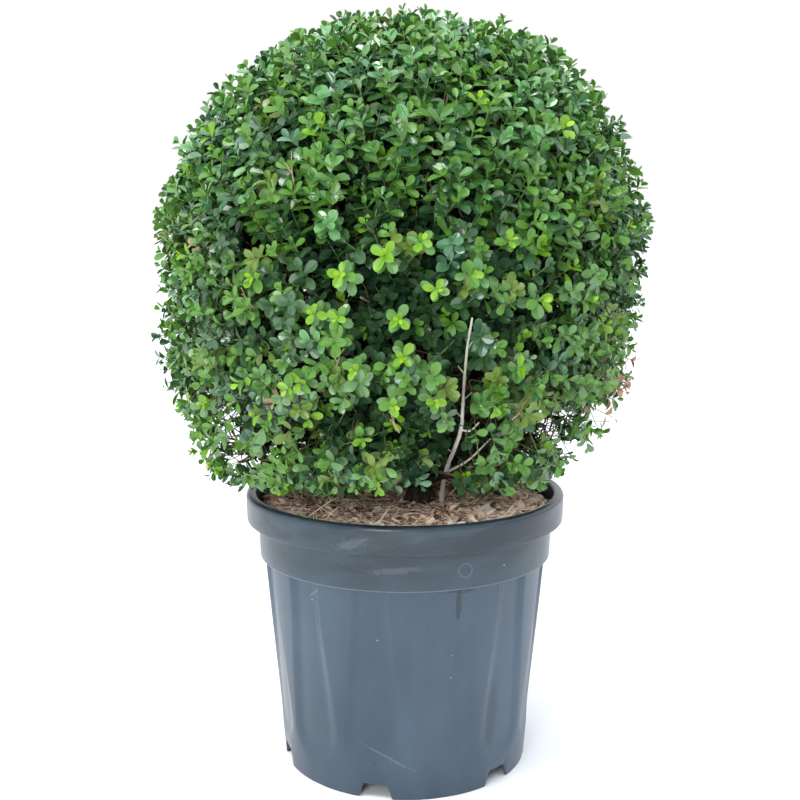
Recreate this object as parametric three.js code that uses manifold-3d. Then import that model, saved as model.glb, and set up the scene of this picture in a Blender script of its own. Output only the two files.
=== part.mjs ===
// A box shrub clipped to a ball, growing in its round plastic nursery pot.
// Millimetres, +Z up, origin at the middle of the pot's underside. The front of the plant faces -Y.
// An azimuth is measured round the pot's axis from the front, and grows towards +X.
import * as THREE from "three";
import { mergeVertices } from "three/addons/utils/BufferGeometryUtils.js";
import Module from "manifold-3d";

const wasm = await Module();
wasm.setup();

// Driving dimensions
const CLEAR = 0.3; // gap between neighbouring solids

const POT = {
  rimRadius: 180,
  height: 311,
  rimBand: 31, // height of the band round the rim
  rimRound: 5, // radius of the rim's outer edge
  lip: 11, // width of the rim's top
  lipFall: 1.5, // how far the lip's inner edge lies below its outer one
  collarRadius: 166.8,
  collarFoot: 238.5, // height of the collar's lower edge
  collarTaper: 1.6,
  stepAbove: 3, // the wall's inside steps in between these distances from the collar's lower edge
  stepBelow: 4,
  bodyRadius: 160, // under the collar
  footRadius: 139,
  wall: 3.3,
  draft: 0.5, // the slight taper of the rim band and of the foot's inside
  floorHeight: 17, // underside of the floor
  floorThickness: 3,
  flutes: 12,
  fluteDepth: 5,
  fluteFade: 50, // height where the flutes run out
  fluteHalfAngle: 7.5,
  fluteFloorHalfAngle: 5.6,
  flutePhase: -13.4,
};
const NOTCH = { count: 6, height: 16, topWidth: 26, footWidth: 40, corner: [2, 3], through: 40, outside: 12 };

const SOIL = { height: 297, bump: 3.2, rings: 5, spokes: 24, flatRadius: 52, seed: 3 };

const CROWN = {
  offset: -2.5, // the ball stands this far to the left of the pot's axis
  middle: 552,
  radius: 259,
  halfUp: 275,
  halfDown: 271,
  roundUp: 2.35, // exponents of the profile: 2 is an ellipse, more is squarer
  roundDown: 2.6,
  foot: 319, // the lowest leaves
  tipsOut: 12, // how far single tips stand out of the clipped surface
};
// Where the clipped surface swells or sinks: azimuth, elevation, height, and how wide it spreads.
const SWELLINGS = [
  { azimuth: 90, elevation: 40, height: 6, spread: 0.1 },
  { azimuth: 90, elevation: 5, height: 3, spread: 0.03 },
  { azimuth: -90, elevation: 20, height: 3, spread: 0.4 },
  { azimuth: -90, elevation: 55, height: -12, spread: 0.05 },
  { azimuth: -90, elevation: 14, height: 5, spread: 0.03 },
  { azimuth: -90, elevation: -3, height: -9, spread: 0.012 },
  { azimuth: -90, elevation: -11, height: 8, spread: 0.01 },
  { azimuth: -84, elevation: -42, height: 18, spread: 0.06 },
  { azimuth: 90, elevation: -20, height: -8, spread: 0.02 },
  { azimuth: 88, elevation: -50, height: -11, spread: 0.05 },
  { azimuth: 200, elevation: 10, height: 5, spread: 0.08 },
  { azimuth: 150, elevation: -25, height: -6, spread: 0.04 },
];

const CORE = { share: 0.87, bump: 5, detail: 4, seed: 5 };
// The ball's foliage stays above this cone and the skirt's below it.
const PARTING = { height: 350, slope: 0.21, gap: 2.5 };

const TRUNK = {
  x: 17,
  y: -4,
  lean: [-6, 4],
  bend: [3, -2], // how far its middle stands off the straight line
  tip: 404,
  footRadius: 13,
  tipRadius: 8,
  flare: 0.6,
  flareHeight: 14,
  buttress: 0.3, // share of the flare that swells into three ridges
  rooted: 4, // how far below ground level it starts, before the flat cut
};
// Every second bough starts higher by the stagger and ends further out by the uneven length.
const BOUGHS = {
  count: 5,
  firstAzimuth: 22,
  from: 329,
  stagger: 9,
  radius: 6,
  tipRadius: 4.4,
  spread: 92,
  uneven: 12,
  top: 406,
  arch: 12, // how far the middle bows out
  rise: 0.42, // share of the climb that is done by the middle
};
const LOW_BOUGHS = {
  count: 6,
  firstAzimuth: -25.5,
  from: 314,
  stagger: 5,
  radius: 4.2,
  tipRadius: 3,
  spread: 122,
  tipHeight: 345,
  rise: 0.62,
};
// The dead stem in front: places from its foot to its tip.
const PALE_STEM = {
  path: [[41, -10], [44, -52, 338], [57, -118, 397], [56.5, -170, 438], [57, -225, 494], [60, -250, 526]],
  radius: 3.9,
  tipRadius: 1.3,
};
// Its two side twigs: how far along the stem they leave it, and the step to their tip. They sag a little.
const PALE_TWIGS = [
  { name: "low", share: 0.18, step: [47, -26, 43], radius: 2.1, tipRadius: 1.1 },
  { name: "high", share: 0.46, step: [18, -13, 10], radius: 1.6, tipRadius: 1 },
];
const PALE_TWIG_SAG = 5;

const BALL_SHOOTS = {
  count: 106,
  lowest: -0.6, // sine of the elevation where the shoots end, under the ball
  seed: 7,
  length: 56,
  radius: 3,
  tipRadius: 2.4,
  deep: 22, // how far below the clipped surface the twigs end
  uneven: 10,
  swing: 10, // degrees of azimuth that a shoot strays over
  lift: 0.2, // how much the shoots bend upward
  pairGap: 12,
};
const SKIRT_SHOOTS = {
  seed: 31,
  radius: 3,
  tipRadius: 2,
  deep: 22,
  pairGap: 14,
  leafSize: 0.74,
  below: 6, // how much further than the ball's twigs the tips may stand out
  start: 3, // how far inside the bough's tip the stem starts, before it is cut clear
  climb: 16,
  arch: 6,
  sideways: 0.12, // how far each side twig strays from its place, as a share of the space
  upward: 10,
  setBack: 16,
  from: [0.5, 0.45, 0.2], // where a side twig leaves the stem: middle, less for the outer ones, and stray
  // Where the side twigs end: height, and places from one side of the spray's space to the other.
  rows: [
    { height: 341, sides: [-0.82, -0.42, 0, 0.42, 0.82] },
    { height: 367, sides: [-0.66, 0.3, 0.68] },
  ],
};
const LEAF = { length: 58, width: 36, thickness: 1.8, root: 0.004, widest: 0.5, blunt: 0.94, bluntWidth: 0.42 };
const LOWER_PAIR = { spread: 66, size: 1 };
const TIP_PAIR = { spread: 52, size: 0.9, back: 2 };
// A pair that has no room is swung round its twig by these angles.
const SWINGS = [0, 0.4, -0.4, 0.8, -0.8, 1.2, -1.2];
const SEAM = 0.05; // sliver edges shorter than this, which joining leaves, are closed

const GOLDEN_ANGLE = Math.PI * (3 - Math.sqrt(5));
const Z = new THREE.Vector3(0, 0, 1);
const CROWN_MIDDLE = new THREE.Vector3(CROWN.offset, 0, CROWN.middle);
const rad = THREE.MathUtils.degToRad;
const deg = THREE.MathUtils.radToDeg;

// A seeded row of numbers from 0 to 1, which gives the same plant each time.
function seeded(seed) {
  let state = seed * 7919 + 1;
  return () => {
    state = (state * 48271) % 2147483647;
    return state / 2147483647;
  };
}

// Unit vector at an azimuth and an elevation, both in degrees.
function heading(azimuth, elevation = 0) {
  const flat = Math.cos(rad(elevation));
  return new THREE.Vector3(flat * Math.sin(rad(azimuth)), -flat * Math.cos(rad(azimuth)), Math.sin(rad(elevation)));
}

// Joins the vertices that share a place, so that faces meet along their edges.
function merge(geometry) {
  const bare = geometry.clone();
  bare.deleteAttribute("normal");
  bare.deleteAttribute("uv");
  return mergeVertices(bare, 1e-4);
}

// The geometry with each vertex moved to where place puts it.
function moved(geometry, place) {
  const merged = merge(geometry);
  const places = merged.attributes.position;
  const at = new THREE.Vector3();
  for (let i = 0; i < places.count; i++) places.setXYZ(i, ...place(at.fromBufferAttribute(places, i)).toArray());
  return merged;
}

function toSolid(geometry) {
  const merged = merge(geometry);
  return new wasm.Manifold(
    new wasm.Mesh({
      numProp: 3,
      vertProperties: new Float32Array(merged.attributes.position.array),
      triVerts: new Uint32Array(merged.index.array),
    }),
  );
}

function toGeometry(solid) {
  const mesh = solid.getMesh();
  const geometry = new THREE.BufferGeometry();
  geometry.setAttribute("position", new THREE.BufferAttribute(new Float32Array(mesh.vertProperties), 3));
  geometry.setIndex(new THREE.BufferAttribute(new Uint32Array(mesh.triVerts), 1));
  geometry.computeVertexNormals();
  return geometry;
}

function largestBody(solid) {
  return solid.decompose().reduce((best, body) => (body.volume() > best.volume() ? body : best));
}

function shape(points, faces) {
  const geometry = new THREE.BufferGeometry();
  geometry.setAttribute("position", new THREE.Float32BufferAttribute(points.flatMap((p) => [p.x, p.y, p.z]), 3));
  geometry.setIndex(faces.flat());
  return geometry;
}

// A tapering limb along a smooth curve, closed at both ends. radiusAt takes the share of the length from the root.
function limb(places, radiusAt, sides, steps) {
  const curve = new THREE.CatmullRomCurve3(places);
  const frames = curve.computeFrenetFrames(steps, false);
  const points = [];
  const faces = [];
  for (let i = 0; i <= steps; i++) {
    const middle = curve.getPointAt(i / steps);
    for (let k = 0; k < sides; k++) {
      const angle = (2 * Math.PI * k) / sides;
      const radius = radiusAt(i / steps, angle);
      points.push(
        middle
          .clone()
          .addScaledVector(frames.normals[i], radius * Math.cos(angle))
          .addScaledVector(frames.binormals[i], radius * Math.sin(angle)),
      );
    }
  }
  for (let i = 0; i < steps; i++)
    for (let k = 0; k < sides; k++) {
      const a = i * sides + k;
      const b = i * sides + ((k + 1) % sides);
      faces.push([a, b, a + sides], [b, b + sides, a + sides]);
    }
  for (let k = 1; k < sides - 1; k++) {
    const last = steps * sides;
    faces.push([0, k + 1, k], [last, last + k, last + k + 1]);
  }
  return shape(points, faces);
}

const taper = (root, tip, grow = 0) => (share) => root + (tip - root) * share + grow;

// A limb's places with its tip moved on by a length.
function lengthened(places, by) {
  const [before, tip] = places.slice(-2);
  const along = tip.clone().sub(before).normalize();
  return [...places.slice(0, -1), tip.clone().addScaledVector(along, by)];
}

// The pot

// The column angles of one flute: its floor, its two walls and the panel beside it.
function potColumns() {
  const period = 360 / POT.flutes;
  const inFlute = [-POT.fluteHalfAngle, -POT.fluteFloorHalfAngle, POT.fluteFloorHalfAngle, POT.fluteHalfAngle];
  const columns = [];
  for (let i = 0; i < POT.flutes; i++) {
    const middle = POT.flutePhase + i * period;
    for (const angle of inFlute) columns.push({ angle: middle + angle, recessed: Math.abs(angle) < POT.fluteHalfAngle });
    columns.push({ angle: middle + period / 2, recessed: false });
  }
  return columns;
}

// The pot's section, from the middle of the floor's underside round the outside and back to the middle of the floor.
function potProfile() {
  const p = POT;
  const band = p.height - p.rimBand;
  const rimEdge = [0, 45, 90].map((turn) => [
    p.rimRadius - p.rimRound * (1 - Math.cos(rad(turn))),
    p.height - p.rimRound * (1 - Math.sin(rad(turn))),
  ]);
  const floor = p.floorHeight + p.floorThickness;
  const bodyAt = (z) => p.footRadius + ((p.bodyRadius - p.footRadius) * z) / p.collarFoot;
  return [
    [0, p.floorHeight],
    [p.footRadius - p.wall - p.draft, p.floorHeight],
    [p.footRadius - p.wall, 0],
    [p.footRadius, 0],
    [bodyAt(p.fluteFade), p.fluteFade],
    [p.bodyRadius, p.collarFoot],
    [p.collarRadius - p.collarTaper, p.collarFoot],
    [p.collarRadius, band],
    [p.rimRadius - p.draft, band],
    ...rimEdge,
    [p.rimRadius - p.lip, p.height - p.lipFall],
    [p.collarRadius - p.wall, band],
    [p.collarRadius - p.collarTaper - p.wall, p.collarFoot + p.stepAbove],
    [p.bodyRadius - p.wall, p.collarFoot - p.stepBelow],
    [bodyAt(p.fluteFade) - p.wall, p.fluteFade],
    [bodyAt(floor) - p.wall, floor],
    [0, floor],
  ];
}

// A trapezoid that cuts one drainage notch out of the foot.
function notchCutter(azimuth) {
  const below = 4;
  const { height, topWidth, footWidth, corner, through, outside } = NOTCH;
  const foot = footWidth / 2 + ((footWidth - topWidth) / height / 2) * below;
  const outline = new THREE.Shape();
  outline.moveTo(-foot, -below);
  outline.lineTo(foot, -below);
  outline.lineTo(topWidth / 2 + corner[0], height - corner[1]);
  outline.lineTo(topWidth / 2 - corner[0], height);
  outline.lineTo(-topWidth / 2 + corner[0], height);
  outline.lineTo(-topWidth / 2 - corner[0], height - corner[1]);
  const cutter = new THREE.ExtrudeGeometry(outline, { depth: through, bevelEnabled: false });
  cutter.rotateX(Math.PI / 2);
  cutter.translate(0, -POT.footRadius - outside + through, 0);
  cutter.rotateZ(rad(azimuth));
  return cutter;
}

function pot() {
  const columns = potColumns();
  const profile = potProfile().map(([r, z]) => new THREE.Vector2(r, z));
  const turned = new THREE.LatheGeometry(profile, columns.length);
  // The lathe's even columns move to the flutes' angles, and the body's wall sinks in along each flute.
  const fluted = moved(turned, (at) => {
    const index = Math.round((Math.atan2(at.x, at.z) * columns.length) / (2 * Math.PI));
    const column = columns[(index + columns.length) % columns.length];
    const radius = Math.hypot(at.x, at.z);
    const underCollar = at.y > POT.fluteFade + 1 && at.y <= POT.collarFoot && radius < POT.bodyRadius + 0.1;
    const sink = column.recessed && underCollar ? POT.fluteDepth : 0;
    return heading(column.angle)
      .multiplyScalar(radius - sink)
      .setZ(at.y);
  });
  let solid = toSolid(fluted);
  for (let i = 0; i < NOTCH.count; i++) {
    solid = solid.subtract(toSolid(notchCutter(POT.flutePhase + (i * 360) / NOTCH.count)));
  }
  return solid;
}

// The soil

// The widest column is a chord of the wall, so the soil keeps inside its middle.
const CHORD = Math.cos(rad(POT.fluteFloorHalfAngle));

// Inner radius of the pot's wall at a height, taken at the flutes.
function potInside(z) {
  const inside = potProfile().slice(-7, -1);
  const below = inside.findIndex(([, height]) => height <= z);
  const [highRadius, high] = inside[below - 1];
  const [lowRadius, low] = inside[below];
  const radius = lowRadius + ((highRadius - lowRadius) * (z - low)) / (high - low);
  return radius - (low === POT.collarFoot - POT.stepBelow && z === low ? POT.fluteDepth : 0);
}

function soil() {
  const { rings, spokes, height, flatRadius, bump, seed } = SOIL;
  const random = seeded(seed);
  const floor = POT.floorHeight + POT.floorThickness + CLEAR;
  const step = [POT.collarFoot - POT.stepBelow, POT.collarFoot + POT.stepAbove];
  const heights = [floor, POT.fluteFade, ...step, POT.height - POT.rimBand, height];
  const wall = heights.map((z) => new THREE.Vector2((potInside(z) - CLEAR) * CHORD, z));
  const edge = wall.at(-1).x;
  const inward = (i) => new THREE.Vector2(edge + ((flatRadius - edge) * i) / rings, height);
  const top = Array.from({ length: rings }, (_, i) => inward(i + 1));
  const profile = [new THREE.Vector2(0, floor), ...wall, ...top, new THREE.Vector2(0, height)];
  const plug = new THREE.LatheGeometry(profile, spokes).rotateX(Math.PI / 2);
  // The top is uneven, but for its edge and a level place round the trunk.
  return toSolid(
    moved(plug, (at) => {
      const radius = Math.hypot(at.x, at.y);
      const uneven = at.z === height && radius > flatRadius + 1 && radius < edge - 1;
      return at.setZ(at.z + (uneven ? bump * (random() * 2 - 1) : 0));
    }),
  );
}

// Trunk, boughs and the pale stem

const GROUND = SOIL.height + CLEAR;

// Cuts a limb flat at ground level.
function cutAtGround(solid) {
  const wide = 200;
  const deep = 60;
  const below = new THREE.BoxGeometry(wide, wide, deep);
  below.translate(0, 0, GROUND - deep / 2);
  return solid.subtract(toSolid(below));
}

function trunkPlaces() {
  const foot = new THREE.Vector3(TRUNK.x, TRUNK.y, GROUND - TRUNK.rooted);
  const tip = new THREE.Vector3(TRUNK.x + TRUNK.lean[0], TRUNK.y + TRUNK.lean[1], TRUNK.tip);
  const bend = foot.clone().lerp(tip, 0.5).add(new THREE.Vector3(...TRUNK.bend, 0));
  return [foot, bend, tip];
}

function trunk(grow) {
  const length = TRUNK.tip - GROUND;
  const radiusAt = (share, angle) => {
    const flare = TRUNK.flare * Math.exp((-share * length) / TRUNK.flareHeight);
    const widened = 1 + flare * (1 + TRUNK.buttress * Math.cos(3 * angle));
    return taper(TRUNK.footRadius, TRUNK.tipRadius)(share) * widened + grow;
  };
  return cutAtGround(toSolid(limb(lengthened(trunkPlaces(), grow), radiusAt, 12, 8)));
}

// A place on the trunk's middle line at a height.
function onTrunk(height) {
  const curve = new THREE.CatmullRomCurve3(trunkPlaces());
  return curve.getPointAt((height - GROUND + TRUNK.rooted) / (TRUNK.tip - GROUND + TRUNK.rooted));
}

function boughPlaces(i) {
  const { firstAzimuth, count, from, stagger, spread, uneven, top, arch, rise } = BOUGHS;
  const root = onTrunk(from + stagger * (i % 2));
  const out = heading(firstAzimuth + (i * 360) / count);
  const tip = new THREE.Vector3(CROWN.offset, 0, top).addScaledVector(out, spread + uneven * (i % 2));
  const bend = root.clone().lerp(tip, 0.5).addScaledVector(out, arch).setZ(root.z + rise * (tip.z - root.z));
  return [root, bend, tip];
}

const skirtAzimuth = (i) => LOW_BOUGHS.firstAzimuth + (i * 360) / LOW_BOUGHS.count;

function lowBoughPlaces(i) {
  const root = onTrunk(LOW_BOUGHS.from + LOW_BOUGHS.stagger * (i % 2));
  const out = heading(skirtAzimuth(i));
  const tip = new THREE.Vector3(0, 0, LOW_BOUGHS.tipHeight).addScaledVector(out, LOW_BOUGHS.spread);
  const bend = root.clone().lerp(tip, 0.5).setZ(root.z + LOW_BOUGHS.rise * (tip.z - root.z));
  return [root, bend, tip];
}

const swollen = (places, { radius, tipRadius }, grow, sides, steps) =>
  toSolid(limb(lengthened(places, grow), taper(radius, tipRadius, grow), sides, steps));

const bough = (i, grow) => swollen(boughPlaces(i), BOUGHS, grow, 6, 4);
const lowBough = (i, grow) => swollen(lowBoughPlaces(i), LOW_BOUGHS, grow, 5, 4);

function palePlaces() {
  return PALE_STEM.path.map(([x, y, z = GROUND - 3]) => new THREE.Vector3(x, y, z));
}

const paleStem = (grow) => cutAtGround(swollen(palePlaces(), PALE_STEM, grow, 6, 9));

function paleTwig(twig, grow) {
  const root = new THREE.CatmullRomCurve3(palePlaces()).getPointAt(twig.share);
  const step = new THREE.Vector3(...twig.step);
  const bend = root.clone().addScaledVector(step, 0.5).add(new THREE.Vector3(0, 0, -PALE_TWIG_SAG));
  return swollen([root, bend, root.clone().add(step)], twig, grow, 5, 3);
}

// Every limb in growing order. Each is cut clear of those before it.
function growLimbs() {
  const makers = [["trunk", trunk]];
  for (let i = 0; i < BOUGHS.count; i++) makers.push([`bough_${i + 1}`, (grow) => bough(i, grow)]);
  for (let i = 0; i < LOW_BOUGHS.count; i++) makers.push([`low_bough_${i + 1}`, (grow) => lowBough(i, grow)]);
  makers.push(["pale_stem", paleStem]);
  for (const twig of PALE_TWIGS) makers.push([`pale_twig_${twig.name}`, (grow) => paleTwig(twig, grow)]);
  const limbs = new Map();
  let grown = null;
  for (const [name, make] of makers) {
    const whole = make(0);
    limbs.set(name, grown ? largestBody(whole.subtract(grown)) : whole);
    const wider = make(CLEAR);
    grown = grown ? grown.add(wider) : wider;
  }
  return { limbs, grown };
}

// Foliage

// How far the clipped foliage reaches from the crown's middle along a unit vector.
function reach(way) {
  const half = way.z > 0 ? CROWN.halfUp : CROWN.halfDown;
  const power = way.z > 0 ? CROWN.roundUp : CROWN.roundDown;
  const across = Math.hypot(way.x, way.y);
  const clipped = ((across / CROWN.radius) ** power + (Math.abs(way.z) / half) ** power) ** (-1 / power);
  return SWELLINGS.reduce((far, s) => {
    const off = 1 - heading(s.azimuth, s.elevation).dot(way);
    return far + s.height * Math.exp(-off / s.spread);
  }, clipped);
}

function insideReach(place, spare) {
  const from = place.clone().sub(CROWN_MIDDLE);
  const far = from.length();
  return far < reach(from.divideScalar(far)) + spare;
}

const partingHeight = (place) => PARTING.height + PARTING.slope * Math.hypot(place.x, place.y);

// One leaf of eight faces: a thin blade with a raised middle and a blunt tip. Its root is sunk into its twig.
function leaf(root, along, face, size) {
  const across = new THREE.Vector3().crossVectors(along, face);
  const at = (share, side, raised) =>
    root
      .clone()
      .addScaledVector(along, share * LEAF.length * size)
      .addScaledVector(across, (side * LEAF.width * size) / 2)
      .addScaledVector(face, raised);
  const points = [
    at(LEAF.root, 0, 0),
    at(LEAF.widest, 1, 0),
    at(LEAF.blunt, LEAF.bluntWidth, 0),
    at(LEAF.blunt, -LEAF.bluntWidth, 0),
    at(LEAF.widest, -1, 0),
    at(LEAF.widest, 0, LEAF.thickness),
  ];
  const faces = [
    [0, 1, 5], [1, 2, 5], [2, 3, 5], [3, 4, 5], [4, 0, 5],
    [0, 4, 1], [1, 4, 2], [2, 4, 3],
  ];
  return { points, middle: points[5], solid: toSolid(shape(points, faces)) };
}

// Two opposite leaves at a place on a twig. turn swings the pair round the twig.
function leafPair(place, along, turn, spread, size) {
  const side = new THREE.Vector3().crossVectors(along, Math.abs(along.z) < 0.9 ? Z : new THREE.Vector3(1, 0, 0));
  side.normalize().applyAxisAngle(along, turn);
  return [side, side.clone().negate()].map((out) => {
    const leafAlong = along.clone().multiplyScalar(Math.cos(rad(spread))).addScaledVector(out, Math.sin(rad(spread)));
    const face = along.clone().multiplyScalar(Math.sin(rad(spread))).addScaledVector(out, -Math.cos(rad(spread)));
    return leaf(place, leafAlong, face, size);
  });
}

// A mass of twigs and leaves. What would leave its space, touch a limb or cut through another leaf is left out.
class Mass {
  constructor(space, limbs) {
    this.space = space;
    this.limbs = limbs;
    this.solids = [];
    this.leaves = [];
  }
  touchesLimb(solid) {
    return solid.intersect(this.limbs).volume() > 0;
  }
  hasRoom(blade) {
    const near = this.leaves.filter((other) => other.middle.distanceTo(blade.middle) < 1.2 * LEAF.length);
    return (
      blade.points.every(this.space) &&
      !near.some((other) => other.solid.intersect(blade.solid).volume() > 0) &&
      !this.touchesLimb(blade.solid)
    );
  }
  addTwig(places, radius, tipRadius, steps = 1) {
    const solid = toSolid(limb(places, taper(radius, tipRadius), 3, steps));
    if (!places.every(this.space) || this.touchesLimb(solid)) return false;
    this.solids.push(solid);
    return true;
  }
  // The stem that the twigs branch from, cut clear of the bough that it grows on from.
  addStem(places, radius, tipRadius, steps) {
    const solid = toSolid(limb(places, taper(radius, tipRadius), 3, steps));
    this.solids.push(largestBody(solid.subtract(this.limbs)));
  }
  // An opposite pair, swung round its twig to where most of it has room.
  addPair(place, along, turn, spread, size) {
    const tries = SWINGS.map((swing) =>
      leafPair(place, along, turn + swing, spread, size).filter((blade) => this.hasRoom(blade)),
    );
    const pair = tries.reduce((best, other) => (other.length > best.length ? other : best));
    this.leaves.push(...pair);
  }
  // Two pairs of leaves at the end of a twig, turned a quarter from each other.
  addTuft(places, turn, pairGap, leafSize = 1) {
    const [before, tip] = places.slice(-2);
    const along = tip.clone().sub(before).normalize();
    const pairs = [TIP_PAIR, { ...LOWER_PAIR, back: pairGap }];
    pairs.forEach(({ spread, size, back }, i) => {
      const place = tip.clone().addScaledVector(along, -back);
      this.addPair(place, along, turn + (i * Math.PI) / 2, spread, size * leafSize);
    });
  }
  union() {
    const solids = [...this.solids, ...this.leaves.map((blade) => blade.solid)];
    return largestBody(solids.reduce((all, solid) => all.add(solid)).asOriginal().simplify(SEAM));
  }
}

// The dense inside of the ball, closed below by the parting cone. The boughs run into it.
function core() {
  const random = seeded(CORE.seed);
  return toSolid(
    moved(new THREE.IcosahedronGeometry(1, CORE.detail), (way) => {
      const far = CORE.share * reach(way) + CORE.bump * (random() * 2 - 1);
      const closing = PARTING.slope * Math.hypot(way.x, way.y) - way.z;
      const toFoot = closing > 0 ? (CROWN.middle - PARTING.height - PARTING.gap - 1) / closing : Infinity;
      return CROWN_MIDDLE.clone().addScaledVector(way, Math.min(far, toFoot));
    }),
  );
}

// The clipped ball: shoots to an even golden spiral of tips on the clipped surface, round a dense core.
function ball(limbs) {
  const { count, lowest, seed, length, radius, tipRadius, deep, uneven, swing, lift, pairGap } = BALL_SHOOTS;
  const random = seeded(seed);
  const space = (p) => insideReach(p, CROWN.tipsOut) && p.z > partingHeight(p) + PARTING.gap;
  const mass = new Mass(space, limbs);
  mass.solids.push(core().subtract(limbs));
  for (let i = 0; i < count; i++) {
    const height = 1 - ((1 - lowest) * (i + 0.5)) / count;
    const azimuth = deg(i * GOLDEN_ANGLE) + swing * (random() - 0.5);
    const way = heading(azimuth, deg(Math.asin(height)));
    const far = reach(way) - deep + uneven * (random() - 0.5);
    const tip = CROWN_MIDDLE.clone().addScaledVector(way, far);
    const growing = way.clone().addScaledVector(Z, lift).normalize();
    const places = [tip.clone().addScaledVector(growing, -length), tip];
    if (mass.addTwig(places, radius, tipRadius)) mass.addTuft(places, random() * Math.PI, pairGap);
  }
  return mass;
}

// One open spray of the skirt under the ball: a stem on from its low bough, and side twigs left and right.
function skirt(i, limbs) {
  const { radius, tipRadius, pairGap, leafSize, rows, deep, below, start, climb, arch } = SKIRT_SHOOTS;
  const { sideways, upward, setBack, from } = SKIRT_SHOOTS;
  const random = seeded(SKIRT_SHOOTS.seed + i);
  const azimuth = skirtAzimuth(i);
  const half = 180 / LOW_BOUGHS.count;
  const space = (p) => {
    const turn = deg(Math.atan2(p.x, -p.y)) - azimuth;
    const off = Math.abs(THREE.MathUtils.euclideanModulo(turn + 180, 360) - 180);
    const fromSide = Math.hypot(p.x, p.y) * Math.sin(rad(half - off));
    const clearOfBall = p.z < partingHeight(p) - PARTING.gap;
    return off < half && fromSide > 1 && clearOfBall && p.z > CROWN.foot && insideReach(p, CROWN.tipsOut + below);
  };
  const mass = new Mass(space, limbs);
  const root = lowBoughPlaces(i).at(-1).addScaledVector(heading(azimuth), -start);
  // The clipped surface at a height and an azimuth, a little inside it.
  const surface = (turned, z, inside) => {
    const place = new THREE.Vector3(0, 0, z);
    const out = heading(turned);
    while (insideReach(place, -inside)) place.addScaledVector(out, 2);
    return place;
  };
  const stemTip = surface(azimuth, root.z + climb, deep + below);
  const stem = [root, root.clone().lerp(stemTip, 0.5).addScaledVector(Z, arch), stemTip];
  const curve = new THREE.CatmullRomCurve3(stem);
  mass.addStem(stem, radius, tipRadius, 3);
  mass.addTuft(stem, random() * Math.PI, pairGap, leafSize);
  for (const { height, sides } of rows)
    for (const side of sides) {
      const turned = azimuth + (side + sideways * (random() - 0.5)) * half;
      const tip = surface(turned, height + upward * (random() - 0.5), deep);
      tip.addScaledVector(heading(azimuth), -setBack * random());
      const twig = [curve.getPointAt(from[0] - from[1] * Math.abs(side) + from[2] * random()), tip];
      if (mass.addTwig(twig, tipRadius, tipRadius)) mass.addTuft(twig, random() * Math.PI, pairGap, leafSize);
    }
  return mass;
}

// The plant

const material = (colour, roughness, metalness = 0) =>
  new THREE.MeshStandardMaterial({ color: colour, roughness, metalness });

const MATERIALS = {
  pot: material(0x4c5763, 0.38),
  soil: material(0x5b4636, 0.95),
  bark: material(0x5a4d3f, 0.9),
  deadWood: material(0xb59f80, 0.85),
  foliage: material(0x4a7a35, 0.55),
};

const plant = new THREE.Group();
plant.name = "box_ball_in_pot";

function add(name, solid, kind) {
  const mesh = new THREE.Mesh(toGeometry(solid), kind);
  mesh.name = name;
  plant.add(mesh);
}

add("pot", pot(), MATERIALS.pot);
add("potting_soil", soil(), MATERIALS.soil);
const { limbs, grown } = growLimbs();
for (const [name, solid] of limbs) add(name, solid, name.startsWith("pale") ? MATERIALS.deadWood : MATERIALS.bark);
add("clipped_ball", ball(grown).union(), MATERIALS.foliage);
for (let i = 0; i < LOW_BOUGHS.count; i++) add(`skirt_${i + 1}`, skirt(i, grown).union(), MATERIALS.foliage);

export default plant;
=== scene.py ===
"""A box shrub clipped to a ball, in its nursery pot: the finished look, built round the packed frame.

The sizes below are in millimetres and degrees, in the frame of the solids: +Z up, the front facing -Y,
azimuths measured from the front towards +X. Meshes are made in metres.
"""
import functools
import math

import bpy
import numpy as np
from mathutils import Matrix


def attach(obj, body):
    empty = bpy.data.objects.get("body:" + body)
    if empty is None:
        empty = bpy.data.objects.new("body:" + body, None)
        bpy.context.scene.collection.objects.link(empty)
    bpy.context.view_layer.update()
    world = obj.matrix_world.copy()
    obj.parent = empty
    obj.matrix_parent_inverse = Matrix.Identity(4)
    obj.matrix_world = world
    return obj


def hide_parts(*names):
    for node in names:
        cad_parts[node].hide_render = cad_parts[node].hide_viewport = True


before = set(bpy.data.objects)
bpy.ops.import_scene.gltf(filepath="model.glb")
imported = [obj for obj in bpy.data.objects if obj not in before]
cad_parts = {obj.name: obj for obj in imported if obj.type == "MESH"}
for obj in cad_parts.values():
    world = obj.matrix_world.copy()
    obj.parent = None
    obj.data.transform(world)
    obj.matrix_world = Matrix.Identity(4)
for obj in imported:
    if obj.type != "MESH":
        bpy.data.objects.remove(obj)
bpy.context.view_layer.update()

bl_info = {
    "name": "Box Ball in a Nursery Pot",
    "version": (1, 0, 0),
    "blender": (4, 5, 0),
    "location": "View3D > Sidebar > Box Ball",
    "description": "Builds a clipped box ball with its twigs, leaves, litter and fluted pot",
    "category": "Object",
}

MM = 0.001
UP = np.array([0.0, 0.0, 1.0])
GOLDEN_ANGLE = math.pi * (3 - math.sqrt(5))
# How many places are compared with a line at a time
BATCH = 4000
# The gap between solids that touch
CLEAR = 0.3
# The solids' seeded numbers: each is the one before times MULTIPLIER, less as many times MODULUS as fit.
MULTIPLIER = 48271
MODULUS = 2147483647

# The pot
POT = {
    "rim_radius": 180,
    "height": 311,
    "rim_band": 31,
    "rim_round": 5,
    "lip": 11,
    "collar_radius": 166.8,
    "collar_foot": 238.5,
    "collar_taper": 1.6,
    "body_radius": 160,
    "foot_radius": 139,
    "wall": 3.3,
    "floor_height": 17,
    "floor_thickness": 3,
}
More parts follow.
